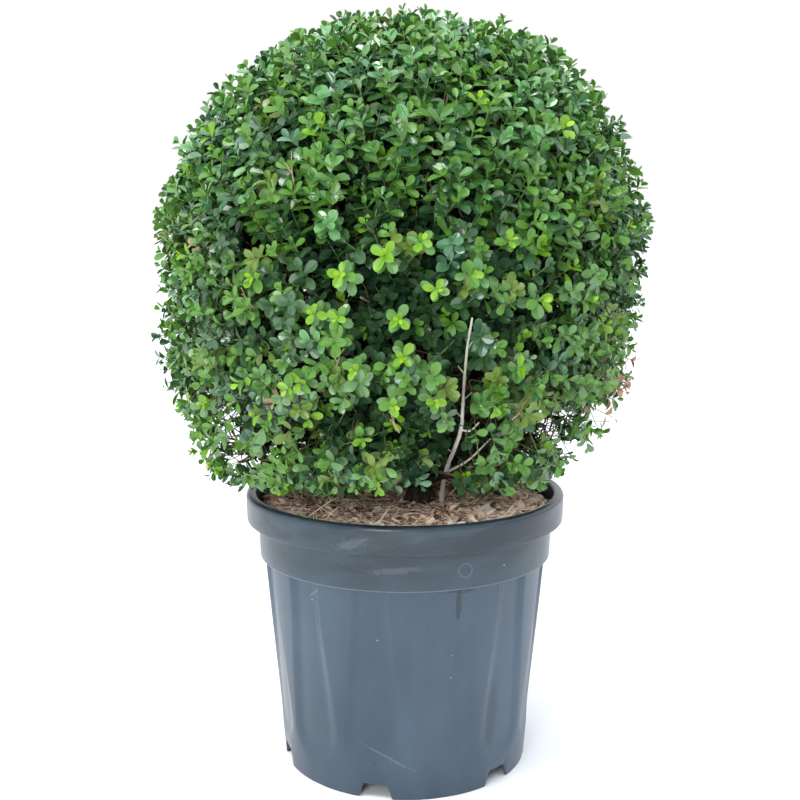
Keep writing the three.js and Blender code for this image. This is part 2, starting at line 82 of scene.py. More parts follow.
# The flutes are deepest under the collar, widen near the foot and end there in rounded tongues.
FLUTES = {
    "count": 12,
    "phase": -13.4,
    "depth": 5.0,
    "low_depth": 3.4,
    "half_angle": 7.2,
    "low_half_angle": 13.2,
    "narrow_above": 236,
    "wide_below": 40,
    "tongue": 62,
    "tongue_height": 30,
    "edge": (0.58, 1.1),
    "even": (18, 40),
}
FLUTE_PITCH = 360 / FLUTES["count"]
# Where the pot's columns stand in each half flute, from its middle to the middle of the panel.
FLUTE_COLUMNS = (1.6, 3.2, 4.4, 5.0, 5.4, 5.8, 6.2, 6.6, 7.0, 7.4, 7.8, 8.4, 9.6, 11.4, 13.2)
COLUMN_PIVOT = 7.8
# The flutes' radius, in metres, by which marks on the pot are measured round it
MARK_RADIUS = 0.165
NOTCH = {"height": 16, "top": 5.1, "foot": 8.1, "blend": 26}

# Sockets of node groups by the count of their values, and the groups' inputs
SOCKETS = {1: "NodeSocketFloat", 3: "NodeSocketVector", 4: "NodeSocketColor"}
MOTTLE_INPUTS = {
    "Colour A": (0.5, 0.5, 0.5, 1),
    "Colour B": (0.2, 0.2, 0.2, 1),
    "Scale": 100.0,
    "Share of B": 0.5,
    "Softness": 0.15,
    "Stretch": (1, 1, 1),
}
GRAIN_INPUTS = {"Scale": 400.0, "Strength": 0.3, "Depth": 0.0005, "Stretch": (1, 1, 1)}
# Marks on the pot, in metres round from the front and up. Each has a strength beside it.
SMEAR_INPUTS = {
    "Around": 0.0,
    "Up": 0.2,
    "Half width": 0.01,
    "Half height": 0.01,
    "Slant": 0.0,
    "Ragged": 0.5,
    "Scale": 90.0,
    "Softness": 0.2,
}
WET_MARKS = (
    ((0.120, 0.299, 0.074, 0.013, 0.12, 0.7, 26.0, 0.25), 0.85),
    ((0.018, 0.291, 0.040, 0.006, 0.16, 1.2, 50.0, 0.35), 0.5),
    ((-0.048, 0.262, 0.020, 0.005, 0.0, 1.2, 110.0, 0.2), 0.55),
    ((0.0605, 0.220, 0.0032, 0.019, 0.0, 0.5, 120.0, 0.25), 0.7),
    ((0.0605, 0.236, 0.016, 0.004, 0.0, 1.2, 110.0, 0.3), 0.5),
    ((0.116, 0.084, 0.010, 0.036, 0.0, 0.6, 60.0, 0.25), 0.4),
)
PALE_MARKS = (
    ((-0.050, 0.292, 0.014, 0.005, 0.3, 3.6, 420.0, 0.25), 0.11),
    ((-0.010, 0.262, 0.026, 0.003, 0.1, 2.6, 220.0, 0.5), 0.1),
    ((-0.020, 0.048, 0.030, 0.0014, -0.4, 2.2, 260.0, 0.4), 0.12),
    ((-0.110, 0.225, 0.009, 0.0012, 0.6, 1.0, 160.0, 0.3), 0.25),
)
RING_MARK = ((0.0625, 0.259, 0.0074, 0.0074, 0.0, 0.25, 160.0, 0.16), 0.15)
# A painted highlight along the collar's lower edge: height above it, half widths outside and inside, strength
EDGE_HIGHLIGHT = (0.4, 0.0013, 0.0003, 0.3)
# Pale specks: scale and size of each kind, then the share of them that shows and their strength
SPECKS = ((30.0, 0.034), (64.0, 0.05))
SPECK_SHARE = 0.22
SPECK_STRENGTH = 0.8

SOIL = {"height": 297, "inside": 166, "foot": 251, "margin": 6, "round_trunk": 17, "sunk": 2.6}
# Bumps of the soil's top: size, layer and seed of the noise, and height
SOIL_BUMPS = ((26, 0.0, 3, 5), (8, 1.0, 4, 2.2))
GROUND = SOIL["height"] + CLEAR
# Litter: name, share of the chips, how much of it gathers in front of the rim, length, width, thickness
CHIPS = (
    ("dark_chips", 0.28, 0.0, 11, 5.0, 2.2),
    ("brown_chips", 0.34, 0.2, 10, 3.8, 2.0),
    ("tan_chips", 0.2, 0.85, 15, 7.5, 2.0),
    ("crumbs", 0.26, 0.35, 4.0, 2.6, 1.4),
)
# Corners of a chip: shares of its half length and half width
CHIP_CORNERS = ((-1, -1), (-0.2, -1.1), (1, -0.7), (0.9, 0.8), (0.1, 1), (-0.9, 0.6))
# Long dry straws that stand up from the litter: foot and tip
STRAWS = (
    ((96, -122, 298), (117, -106, 319)),
    ((102, -123, 298), (119, -108, 314)),
    ((-104, -92, 299), (-68, -86, 322)),
    ((-86, -112, 298), (-70, -104, 314)),
    ((-30, -128, 298), (-14, -114, 318)),
    ((54, -136, 298), (40, -124, 312)),
)

# The crown, as in the solids
CROWN = {
    "offset": -2.5,
    "middle": 552,
    "radius": 259,
    "half_up": 275,
    "half_down": 271,
    "round_up": 2.35,
    "round_down": 2.6,
    "tips_out": 17,
}
CROWN_MIDDLE = np.array([CROWN["offset"], 0.0, CROWN["middle"]])
# Azimuth, elevation, height and spread of each swelling of the clipped surface
SWELLINGS = (
    (90, 40, 6, 0.1), (90, 5, 3, 0.03), (-90, 20, 3, 0.4), (-90, 55, -12, 0.05), (-90, 14, 5, 0.03),
    (-90, -3, -9, 0.012), (-90, -11, 8, 0.01), (-84, -42, 18, 0.06), (90, -20, -8, 0.02),
    (88, -50, -11, 0.05), (200, 10, 5, 0.08), (150, -25, -6, 0.04),
)
# The lowest leaves hang lower at the sides and near the trunk than in front, where the soil shows under them.
FOOT = {"side": 317, "front": 345, "back": 317, "inner": 315, "inner_radius": 70, "outer_radius": 195}

TRUNK = {"x": 17, "y": -4, "lean": (-6, 4), "bend": (3, -2), "tip": 404, "foot_radius": 13, "tip_radius": 8}
TRUNK_FLARE = {"share": 0.6, "height": 14, "buttress": 0.3, "rooted": 4}
BOUGHS = {
    "count": 5,
    "azimuth": 22,
    "from": 329,
    "stagger": 9,
    "radius": 6,
    "tip_radius": 4.4,
    "spread": 92,
    "uneven": 12,
    "top": 406,
    "arch": 12,
    "rise": 0.42,
}
LOW_BOUGHS = {
    "count": 6,
    "azimuth": -25.5,
    "from": 314,
    "stagger": 5,
    "radius": 4.2,
    "tip_radius": 3,
    "spread": 122,
    "tip_height": 345,
    "rise": 0.62,
}
PALE_STEM = (
    (41, -10, 294.3),
    (44, -52, 338),
    (57, -118, 397),
    (56.5, -170, 438),
    (57, -225, 494),
    (60, -250, 526),
)
PALE_STEM_RADII = (3.9, 1.3)
# Side twigs of the pale stem: name, share of the stem where each leaves it, step to its tip, radii
PALE_TWIGS = (
    ("pale_twig_low", 0.18, (47, -26, 43), (2.1, 1.1)),
    ("pale_twig_high", 0.46, (18, -13, 10), (1.6, 1.0)),
)
PALE_TWIG_SAG = 5
# How many places the line of the dead stem has
STEM_PLACES = 110
# Broken stubs on the dead stem: at which of its places, and the step to the tip
STUBS = (
    (34, (-9, -5, 8)),
    (58, (-8, -4, 9)),
    (70, (9, -3, 9)),
    (84, (-7, -3, 9)),
    (96, (6, -2, 9)),
)
# Painted shade: the dead stem turns darker between these heights in metres, by this share, where it runs in
# among the leaves.
WOOD_SHADE_HEIGHTS = (0.40, 0.445, 0.8)
# The dried wood has shrunk inside its solid.
STEM_SLIM = 0.76
# Width and length of the cracks in the bark, and the way from which the limbs' columns start
CRACKS = (3.2, 11)
LIMB_ASIDE = np.array([0.9, 0.43, 0.1])

# The ball's main shoots, as in the solids
BALL_SHOOTS = {
    "count": 106,
    "lowest": -0.6,
    "seed": 7,
    "length": 56,
    "deep": 22,
    "uneven": 10,
    "swing": 10,
    "lift": 0.2,
}
FORKS = {"count": 26, "share": 0.52, "lift": 0.35, "radii": (3.6, 2.3), "branch_radii": (2.0, 1.0)}
SKIRT = {
    "deep": 28,
    "climb": 16,
    "arch": 6,
    "seed": 31,
    "heights": (334, 352, 370),
    "sides": (-0.86, -0.5, -0.16, 0.2, 0.54, 0.88),
    "stem_tip_radius": 1.6,
    "radii": (1.5, 0.9),
}

# Layers of finer shoots: count, lowest place, how deep the tips lie, shoot length, pairs of leaves
LAYERS = (
    {"count": 2250, "lowest": -0.84, "deep": (-3, 15), "length": (38, 58), "pairs": (5, 6)},
    {"count": 1350, "lowest": -0.84, "deep": (16, 46), "length": (34, 50), "pairs": (4, 5)},
    {"count": 850, "lowest": -0.86, "deep": (46, 118), "length": (32, 46), "pairs": (3, 4)},
)
# The numbers that shoots of each layer carry. Those of the underside come last.
OUTER, MIDDLE, INNER, UNDER = range(4)
# How much shoots differ: wander from an even spread, and rise and stray of their ways
SHOOTS = {"wander": 0.014, "lift": 0.34, "top_lift": 0.36, "lift_spread": 0.14, "stray": 0.26, "over_foot": 6}
# The rosettes lie near the surface, and face outward more exactly.
ROSETTE = {"deep": 4, "lift": 0.12, "stray": 0.06}
# How uneven noise makes the depth of the shoots: scale and shift of the noise, its seed and its height
UNEVEN_DEPTHS = ((5.5, 9, 0, 16), (12, 5, 7, 10))
# Sprays that fill the underside, between the trunk and the outer leaves
UNDERSIDE = {"count": 740, "from": 36, "to": 224, "thick": 54, "length": (34, 48), "pairs": (3, 5)}
# The hollow in front of the trunk: between two places across, below a height and in front of a depth
TRUNK_HOLLOW = {"left": 0, "right": 37, "top": 350, "behind": -14}
# Branches thinner than this have four sides, and are left out in front of the dead stem.
THIN_BRANCH = 1.8
# How far leaves, and shoots, stay clear of the way from the camera to each part of the dead stem
STEM_VIEWS = (("pale_stem", 8.5, 5.0), ("pale_twig_low", 7.0, 3.5), ("pale_twig_high", 4.0, 2.5))
# Hollows in the crown, dark from their depth and from the painted shade of the leaves sunk in them: azimuth,
# elevation, half width in degrees, depth
HOLLOWS = (
    (-13, -1, 9, 58), (-4, -28, 8, 60), (3, 16, 6, 48), (-2, 0, 8, 54), (-11, 17, 6, 40),
    (2, -10, 6, 48), (-22, 15, 5, 38), (9, -4, 6, 46), (-31, -9, 6, 38), (25, -8, 6, 42),
    (20, 8, 4, 34), (35, -3, 5, 40), (7, -38, 8, 60), (-17, -29, 6, 42), (-36, 10, 5, 34),
    (39, 7, 4, 30), (70, -6, 6, 40), (110, 8, 7, 48), (-18, 7, 5, 40), (-8, 8, 6, 46), (6, 6, 5, 40),
    (12, -15, 5, 42), (-6, -11, 5, 42), (-27, 4, 4, 34), (16, 15, 4, 34), (-9, 24, 4, 32),
    (28, 2, 4, 34), (140, -12, 6, 42), (165, 4, 7, 50), (-160, -14, 6, 46), (-130, 6, 7, 44),
    (-100, -18, 6, 36), (92, 69, 12, 9), (100, 34, 5, 34), (-150, 36, 5, 34),
)
# Where the sky shows through the crown, seen from in front: x, z, half width, share of leaves missing
OPENINGS = (
    (-202, 392, 18, 0.82), (-192, 372, 17, 0.9), (-188, 342, 17, 1.0), (-176, 340, 13, 1.0),
    (-148, 360, 15, 0.85), (-118, 364, 13, 0.85), (-225, 420, 14, 0.45), (-232, 500, 12, 0.4),
    (179, 396, 17, 0.85), (186, 356, 19, 0.9), (135, 356, 14, 1.1), (148, 362, 13, 0.95),
    (164, 377, 14, 1.1), (168, 392, 12, 1.05), (218, 390, 19, 0.85), (214, 358, 16, 0.8),
    (236, 404, 14, 0.7), (222, 436, 12, 0.5), (236, 474, 12, 0.4),
)
# Where young bright rosettes face outward: azimuth and elevation
ROSETTES = (
    (-1, -6), (7, 0), (14, 3), (7, -23), (0, -14), (-2, -24), (-10, -16), (-13, 3), (-19, -5),
    (-26, -21), (-34, 2), (14, -19), (23, 10), (4, 10), (-14, -6), (-40, -21), (-54, -26), (-70, -42),
    (35, -42), (44, -3), (31, -3), (19, 39), (-23, -20), (-4, 7), (76, 2), (40, 32), (-60, 6),
    (-62, -34), (52, -12), (60, 12), (96, -8), (118, 20), (135, -22), (158, 10), (178, -12), (-170, 24),
    (-145, -6), (-120, 14), (-98, -30),
)
# Dead sprays: azimuth, elevation and half width
DEAD_SPRAYS = ((70, -25, 3.8), (78, -19, 2.8), (74, -32, 2.8), (-30, -26, 2.0), (-57, 8, 2.0))
# Sprays that stand out of the outline: azimuth, elevation, how far
STRAY_SPRAYS = (
    (-90, 12, 10), (-90, 20, 9), (-90, -8, 13), (-90, -20, 12), (-90, -26, 6), (-90, -14, 15),
    (-86, -18, 17), (-94, -22, 20), (-90, -21, 22), (-89, -25, 17), (-90, -40, 14), (-88, -46, 14),
    (-92, -43, 12), (-86, -50, 6), (-90, 43, 7), (-90, 52, 6), (-90, 60, 8), (-90, 68, 8),
    (-90, 78, 12), (0, 89, 12), (90, 80, 4), (90, 67, 2), (90, 56, 5), (90, 48, 6), (90, 34, 5),
    (90, 1, 9), (90, 7, 6), (90, -16, 6), (90, -26, 9), (90, -29, 13), (68, -25, 10), (69, -24, 8),
    (76, -19, 10), (72, -32, 9), (90, -35, 18), (88, -38, 18), (92, -43, 15), (90, -40, 12),
    (86, -47, 8), (84, -51, 8), (30, 60, 8), (150, 40, 8), (180, 20, 8), (-150, 50, 8), (170, -10, 7),
    (-160, -25, 7),
)
# Radii of the thin tubes, from foot to tip
TWIG_RADII = (1.0, 0.6)
SHOOT_RADII = (0.68, 0.56, 0.42)
BARE_RADII = (0.7, 0.4)
STUB_RADII = (0.8, 0.4)
NEEDLE_RADIUS = 0.42
STRAW_RADIUS = 0.75
# Thin bare twigs that stand out of the leaves: azimuth, elevation, length, tilt to the side
BARE_TWIGS = (
    (-25, 21, 34, 0.05), (-26, -25, 26, -0.5), (-1, -31, 24, -0.35), (-15, -17, 22, 0.5),
    (53, -27, 40, 0.9), (-35, -5, 24, -0.6), (27, -29, 28, 0.8), (12, 18, 20, 0.3), (120, -16, 30, 0.5),
    (170, 12, 26, -0.4), (-140, -22, 30, 0.6),
)

# Leaf outlines: places of the rows along the midrib, and half widths there, as shares of length and width
LEAF_OUTLINE = ((0.17, 0.41, 0.69, 0.92), (0.21, 0.43, 0.50, 0.30))
INNER_OUTLINE = ((0.24, 0.56, 0.86), (0.30, 0.50, 0.32))
# Where the blunt tip of the blade ends, as a share of its length
BLUNT = 0.985
# From the tip down: the pairs' size and how far they spread from the shoot
PAIR_SIZES = (0.5, 0.82, 1.0, 1.02, 1.0, 0.98, 0.94)
PAIR_SPREADS = (36, 56, 66, 71, 75, 77, 78)
# How many pairs at the tip take the young colours
YOUNG_PAIRS = 2
# How leaves differ. Cup and curl are for grown and for young leaves.
LEAVES = {
    "turn": 0.16,
    "open": 9,
    "twist": 0.3,
    "length": (0.88, 1.1),
    "width": (0.88, 1.12),
    "inner_length": 1.35,
    "cup": (0.3, 0.38),
    "cup_spread": 0.14,
    "curl": (0.2, 0.02),
    "curl_spread": 0.2,
    "missing": 0.04,
    "dead_width": 0.75,
    "dead_curl": 0.5,
}
# Roughness and specular level of each kind of leaf
LEAF_FINISH = {
    "shade": (0.6, 0.12),
    "inner": (0.5, 0.22),
    "deep": (0.31, 0.8),
    "green": (0.30, 0.8),
    "blue": (0.27, 1.0),
    "gloss": (0.25, 1.0),
    "olive": (0.36, 0.55),
    "soft": (0.38, 0.55),
    "fresh": (0.38, 0.5),
    "lime": (0.4, 0.4),
    "bud": (0.42, 0.4),
    "dead": (0.75, 0.2),
}
KIND = {name: number for number, name in enumerate(LEAF_FINISH)}
SIMPLE_KINDS = ("shade", "inner")
# How the grown leaves of the outer shoots are dealt out at the top, half way down and near the foot
DEAL = {
    "deep": (0.12, 0.36, 0.14),
    "green": (0.23, 0.26, 0.21),
    "blue": (0.12, 0.08, 0.09),
    "gloss": (0.31, 0.06, 0.02),
    "olive": (0.04, 0.09, 0.14),
    "soft": (0.02, 0.04, 0.19),
    "fresh": (0.16, 0.11, 0.21),
}
# From what depth of hollow shoots count as sunk, and the shares of shoots that take the shaded colours
SUNK_FROM = 14
SHADED = {"middle": 0.62, "under": 0.5, "sunk_bright": 0.15, "sunk_inner": 0.6}
FRESH_BELOW = 0.42
DEAD_SHARE = 0.85

# The stage, in metres: half the floor's side, and the place that the lamps face
FLOOR_HALF = 60
LAMP_AIM = np.array([0, 0, 0.45])
# Name, setting of the power, place and width of each lamp
LAMPS = (
    ("overhead_lamp", "lamp", (-0.8, -1.0, 2.9), 1.0),
    ("front_lamp", "front_lamp", (-0.7, -2.4, 1.1), 0.9),
)
# Light from the sides and from above, and from the camera's side and the others
SKY = ((1, 1, 1, 1), (1.5, 1.55, 1.62, 1))
ROOM = ((0.5, 0.52, 0.56, 1), (1.1, 1.12, 1.15, 1))


def paint(red, green, blue):
    """A colour as seen on a screen, from 0 to 255, as the linear colour that shaders take."""
    shares = np.array([red, green, blue]) / 255
    return tuple(np.where(shares <= 0.04045, shares / 12.92, ((shares + 0.055) / 1.055) ** 2.4))


# Settings that a user may change


def colour_of(name, description, shade):
    """A colour, given as it is seen on a screen."""
    return bpy.props.FloatVectorProperty(
        name=name, description=description, subtype="COLOR", size=3, min=0, max=1, default=paint(*shade)
    )


def number_of(name, description, default, **limits):
    """A number, with its unit or its limits."""
    return bpy.props.FloatProperty(name=name, description=description, default=default, **limits)


def length_of(name, description, millimetres):
    """A length, given in millimetres."""
    return number_of(name, description, millimetres * MM, min=0, precision=4, unit="LENGTH")


def share_of(name, description, share):
    """A share from 0 to 1."""
    return number_of(name, description, share, min=0, max=1, subtype="FACTOR")


def count_of(name, description, count):
    """A whole number from 0 up."""
    return bpy.props.IntProperty(name=name, description=description, default=count, min=0)


class CrownSettings(bpy.types.PropertyGroup):
    """Sizes and colours of the leaves and twigs."""

    leaf_length: length_of("Leaf length", "Length of a grown leaf at the top", 18.4)
    leaf_width: length_of("Leaf width", "Width of a grown leaf at the top", 11.2)
    lower_size: share_of("Lower leaves", "Size of the lower leaves, as a share of those at the top", 0.83)
    pair_gap: length_of("Pair gap", "Distance between two pairs of leaves on a shoot", 8.2)
    fullness: share_of("Fullness", "Share of the shoots that carry leaves", 1.0)
    seed: count_of("Seed", "Seed of the finer shoots", 11)
    # Painted shade: the shaded and inner greens darken the leaves inside the crown, under it and in its
    # hollows
    shade: colour_of("Shaded leaves", "Leaves deep inside the crown", (28, 54, 33))
    inner: colour_of("Inner leaves", "Leaves under the outer ones", (41, 70, 37))
    deep: colour_of("Deep green", "Old leaves", (49, 87, 45))
    green: colour_of("Green", "Most of the leaves", (80, 126, 56))
    blue: colour_of("Blue green", "Glossy leaves with a blue cast", (68, 114, 76))
    gloss: colour_of("Glossy green", "Leaves of the upper half", (92, 146, 80))
    olive: colour_of("Olive", "Dull older leaves", (98, 124, 46))
    soft: colour_of("Soft green", "Leaves near the foot", (99, 134, 84))
    fresh: colour_of("Fresh green", "This year's leaves", (84, 131, 46))
    lime: colour_of("Lime", "Young leaves", (108, 154, 36))
    bud: colour_of("Bud", "Leaves that have just opened", (136, 176, 30))
    dead: colour_of("Dead leaves", "Dry brown leaves", (168, 138, 108))
    shoot: colour_of("Shoots", "Green stems of this year's shoots", (100, 126, 64))
    twig: colour_of("Twigs", "Older twigs", (118, 102, 80))
    crack: colour_of("Dark twigs", "Shaded bark of the twigs", (70, 60, 47))
    bare: colour_of("Bare twigs", "Dry twigs with no leaves", (170, 146, 118))


class LimbSettings(bpy.types.PropertyGroup):
    """Bark of the trunk, the boughs and the dead stem."""

    relief: length_of("Relief", "Depth of the bark's cracks on the trunk", 1.0)
    bark: colour_of("Bark", "Ridges of the bark", (78, 68, 56))
    crack: colour_of("Cracks", "Bottom of the bark's cracks", (32, 27, 23))
    pale: colour_of("Dead wood", "Bleached wood of the dead stem", (255, 249, 234))
    # Painted shade for the dead stem's upper part, among the leaves, which turns towards this colour
    shaded_wood: colour_of("Dull wood", "Greenish wood in the upper half of the dead stem", (150, 154, 122))
    stain: colour_of("Stain", "Weathered streaks on the dead stem", (206, 182, 154))


class PotSettings(bpy.types.PropertyGroup):
    """Colours of the moulded pot."""

    plastic: colour_of("Plastic", "Moulded blue-grey plastic", (43, 59, 72))
    dust: colour_of("Dust", "Dry film of dust", (65, 83, 99))
    rim: colour_of("Rim", "Cleaner plastic of the rim", (28, 42, 51))
    rim_dust: colour_of("Rim dust", "Dust on the rim", (50, 66, 76))
    wet: colour_of("Smears", "Wiped and damp patches", (26, 38, 48))
    # This pale colour serves the scuffs, the specks and the ring, and also paints the highlight along the
    # collar's lower edge
    scratch_and_highlight: colour_of("Scratches", "Pale scuffs and specks", (150, 164, 174))
    roughness: share_of("Roughness", "Roughness of clean plastic", 0.26)


class SoilSettings(bpy.types.PropertyGroup):
    """The potting mix and what lies on it."""

    chips: count_of("Bark chips", "Number of bark chips", 2300)
    needles: count_of("Needles", "Number of dry needles and straws", 950)
    litter: count_of("Dry leaves", "Number of dry fallen leaves", 420)
    seed: count_of("Seed", "Seed of the litter", 5)
    mix: colour_of("Mix", "Damp potting mix", (116, 95, 81))
    dark: colour_of("Dark chips", "Dark bark chips", (170, 139, 120))
    brown: colour_of("Brown chips", "Brown bark chips", (238, 212, 190))
    tan: colour_of("Tan chips", "Pale dry chips near the rim", (252, 238, 220))
    crumb: colour_of("Crumbs", "Pale crumbs", (238, 230, 222))
    straw: colour_of("Straw", "Dry needles", (250, 228, 203))
    leaf: colour_of("Dry leaves", "Fallen box leaves", (250, 222, 192))


class StageSettings(bpy.types.PropertyGroup):
    """The floor, the light and the camera."""

    floor: colour_of("Floor", "Plain pale floor", (250, 250, 250))
    sky: number_of("Sky", "Strength of the light from all round", 1.0, min=0)
    lamp: number_of("Overhead lamp", "Power of the lamp overhead", 42, min=0, unit="POWER")
    front_lamp: number_of("Front lamp", "Power of the low lamp in front", 30, min=0, unit="POWER")
    focal: number_of("Focal length", "Focal length in millimetres on a 36 mm sensor", 53.8, min=1)
    tilt: number_of("Tilt", "How far the camera looks down", 0.155, subtype="ANGLE")
    place: bpy.props.FloatVectorProperty(
        name="Camera",
        description="Where the camera stands",
        default=(-0.0056, -1.335, 0.620),
        subtype="TRANSLATION",
    )


SETTINGS = {
    "box_crown": CrownSettings,
    "box_limbs": LimbSettings,
    "box_pot": PotSettings,
    "box_soil": SoilSettings,
    "box_stage": StageSettings,
}


def settings(name):
    """One of the groups of settings, as it stands in the scene."""
    return getattr(bpy.context.scene, name)


# Working with places


def unit(ways):
    """Ways of length one."""
    return ways / np.maximum(np.linalg.norm(ways, axis=-1, keepdims=True), 1e-9)


def heading(azimuth, elevation=0.0):
    """Unit ways at azimuths and elevations in degrees."""
    a, e = np.radians(azimuth), np.radians(elevation)
    flat = np.cos(e)
    return np.stack([flat * np.sin(a), -flat * np.cos(a), np.sin(e) + 0 * a], -1)


def seeded(seed):
    """The solids' seeded row of numbers from 0 to 1."""
    state = seed * 7919 + 1

    def draw():
        nonlocal state
        state = state * MULTIPLIER % MODULUS
        return state / MODULUS

    return draw


def noise(places, seed=0):
    """Smooth values from 0 to 1 over places whose steps of one are unrelated."""
    cell = np.floor(places).astype(np.int64)
    part = places - cell
    part = part * part * (3 - 2 * part)
    total = np.zeros(len(places))
    for corner in np.ndindex(2, 2, 2):
        at = cell + np.array(corner)
        key = (at[:, 0] * 73856093) ^ (at[:, 1] * 19349663) ^ (at[:, 2] * 83492791) ^ (seed * 2654435761)
        value = (((key & MODULUS) * MULTIPLIER) % MODULUS) / MODULUS
        weight = np.prod(np.where(corner, part, 1 - part), axis=1)
        total += weight * value
    return total


def curve_through(places, count):
    """Evenly spaced places on a smooth curve through the given ones, as the solids' limbs run."""
    given = np.asarray(places, float)
    ends = np.vstack([2 * given[0] - given[1], given, 2 * given[-1] - given[-2]])
    fine = []
    for i in range(1, len(ends) - 2):
        p0, p1, p2, p3 = ends[i - 1 : i + 3]
        d0, d1, d2 = (np.linalg.norm(q - p) ** 0.5 for p, q in ((p0, p1), (p1, p2), (p2, p3)))
        leave = ((p1 - p0) / d0 - (p2 - p0) / (d0 + d1) + (p2 - p1) / d1) * d1
        arrive = ((p2 - p1) / d1 - (p3 - p1) / (d1 + d2) + (p3 - p2) / d2) * d1
        t = np.linspace(0, 1, 40, endpoint=i == len(ends) - 3)[:, None]
        square = 3 * (p2 - p1) - 2 * leave - arrive
        cube = 2 * (p1 - p2) + leave + arrive
        fine.append(p1 + leave * t + square * t**2 + cube * t**3)
    fine = np.vstack(fine)
    far = np.concatenate([[0], np.cumsum(np.linalg.norm(np.diff(fine, axis=0), axis=1))])
    wanted = np.linspace(0, far[-1], count)
    return np.stack([np.interp(wanted, far, fine[:, k]) for k in range(3)], 1)


def arcs(starts, leaving, ends, arriving, count):
    """Bent paths from starts to ends that leave and arrive along given ways, each with count places."""
    third = np.linalg.norm(ends - starts, axis=-1, keepdims=True) / 3
    a, b = starts + leaving * third, ends - arriving * third
    t = np.linspace(0, 1, count)[None, :, None]
    return (
        starts[:, None] * (1 - t) ** 3
        + 3 * a[:, None] * t * (1 - t) ** 2
        + 3 * b[:, None] * t**2 * (1 - t)
        + ends[:, None] * t**3
    )


# The crown's rule, as in the solids


def reach(ways):
    """How far the clipped foliage reaches from the crown's middle."""
    high = ways[:, 2] > 0
    half = np.where(high, CROWN["half_up"], CROWN["half_down"])
    power = np.where(high, CROWN["round_up"], CROWN["round_down"])
    across = np.hypot(ways[:, 0], ways[:, 1])
    far = ((across / CROWN["radius"]) ** power + (np.abs(ways[:, 2]) / half) ** power) ** (-1 / power)
    for azimuth, elevation, height, spread in SWELLINGS:
        off = 1 - ways @ heading(azimuth, elevation)
        far = far + height * np.exp(-off / spread)
    return far


def stands_out(places):
    """How far places lie outside the clipped surface, along their own way from the crown's middle."""
    away = places - CROWN_MIDDLE
    far = np.linalg.norm(away, axis=-1)
    return far - reach(away / far[:, None])


def smooth_step(values, low, high):
    """Rises smoothly from 0 at the low value to 1 at the high one."""
    t = np.clip((values - low) / (high - low), 0, 1)
    return t * t * (3 - 2 * t)


def foot_height(places):
    """The height of the lowest leaves at the places' azimuths."""
    across = np.maximum(np.hypot(places[:, 0], places[:, 1]), 1)
    front = -places[:, 1] / across
    rise = np.where(front > 0, FOOT["front"] - FOOT["side"], FOOT["back"] - FOOT["side"])
    edge = FOOT["side"] + rise * front**2
    outward = smooth_step(across, FOOT["inner_radius"], FOOT["outer_radius"])
    return FOOT["inner"] + (edge - FOOT["inner"]) * outward


def spiral(count, lowest, turn=0.0):
    """Ways of an even golden spiral from straight up to the sine of the lowest elevation."""
    i = np.arange(count)
    height = 1 - (1 - lowest) * (i + 0.5) / count
    return heading(np.degrees(i * GOLDEN_ANGLE) + turn, np.degrees(np.arcsin(height)))


def trunk_places():
    """The foot, the bend and the tip of the trunk."""
    foot = np.array([TRUNK["x"], TRUNK["y"], GROUND - TRUNK_FLARE["rooted"]])
    tip = np.array([TRUNK["x"] + TRUNK["lean"][0], TRUNK["y"] + TRUNK["lean"][1], TRUNK["tip"]])
    return [foot, (foot + tip) / 2 + np.array([*TRUNK["bend"], 0]), tip]


def on_trunk(height):
    """A place on the trunk's middle line."""
    line = curve_through(trunk_places(), 200)
    rooted = TRUNK_FLARE["rooted"]
    return line[round(199 * (height - GROUND + rooted) / (TRUNK["tip"] - GROUND + rooted))]


def bough_places(i):
    """The root, the bend and the tip of a main bough."""
    b = BOUGHS
    odd = i % 2
    root = on_trunk(b["from"] + b["stagger"] * odd)
    out = heading(b["azimuth"] + i * 360 / b["count"])
    tip = np.array([CROWN["offset"], 0, b["top"]]) + out * (b["spread"] + b["uneven"] * odd)
    bend = (root + tip) / 2 + out * b["arch"]
    bend[2] = root[2] + b["rise"] * (tip[2] - root[2])
    return [root, bend, tip]


def skirt_azimuth(i):
    """The azimuth of a low bough and of the spray on it."""
    return LOW_BOUGHS["azimuth"] + i * 360 / LOW_BOUGHS["count"]


def low_bough_places(i):
    """The root, the bend and the tip of a low bough."""
    b = LOW_BOUGHS
    root = on_trunk(b["from"] + b["stagger"] * (i % 2))
    tip = np.array([0, 0, b["tip_height"]]) + heading(skirt_azimuth(i)) * b["spread"]
    bend = (root + tip) / 2
    bend[2] = root[2] + b["rise"] * (tip[2] - root[2])
    return [root, bend, tip]


@functools.lru_cache(maxsize=1)
def limb_lines():
    """Name, middle line and radii at both ends of every limb of the solids."""
    lines = {"trunk": (curve_through(trunk_places(), 60), TRUNK["foot_radius"], TRUNK["tip_radius"])}
    for kind, places, b in (("bough", bough_places, BOUGHS), ("low_bough", low_bough_places, LOW_BOUGHS)):
        for i in range(b["count"]):
            lines[f"{kind}_{i + 1}"] = (curve_through(places(i), 40), b["radius"], b["tip_radius"])
    stem = curve_through(PALE_STEM, STEM_PLACES)
    lines["pale_stem"] = (stem, *PALE_STEM_RADII)
    for name, share, step, radii in PALE_TWIGS:
        root = stem[round((STEM_PLACES - 1) * share)]
        step = np.array(step, float)
        lines[name] = (curve_through([root, root + step / 2 - UP * PALE_TWIG_SAG, root + step], 24), *radii)
    return lines


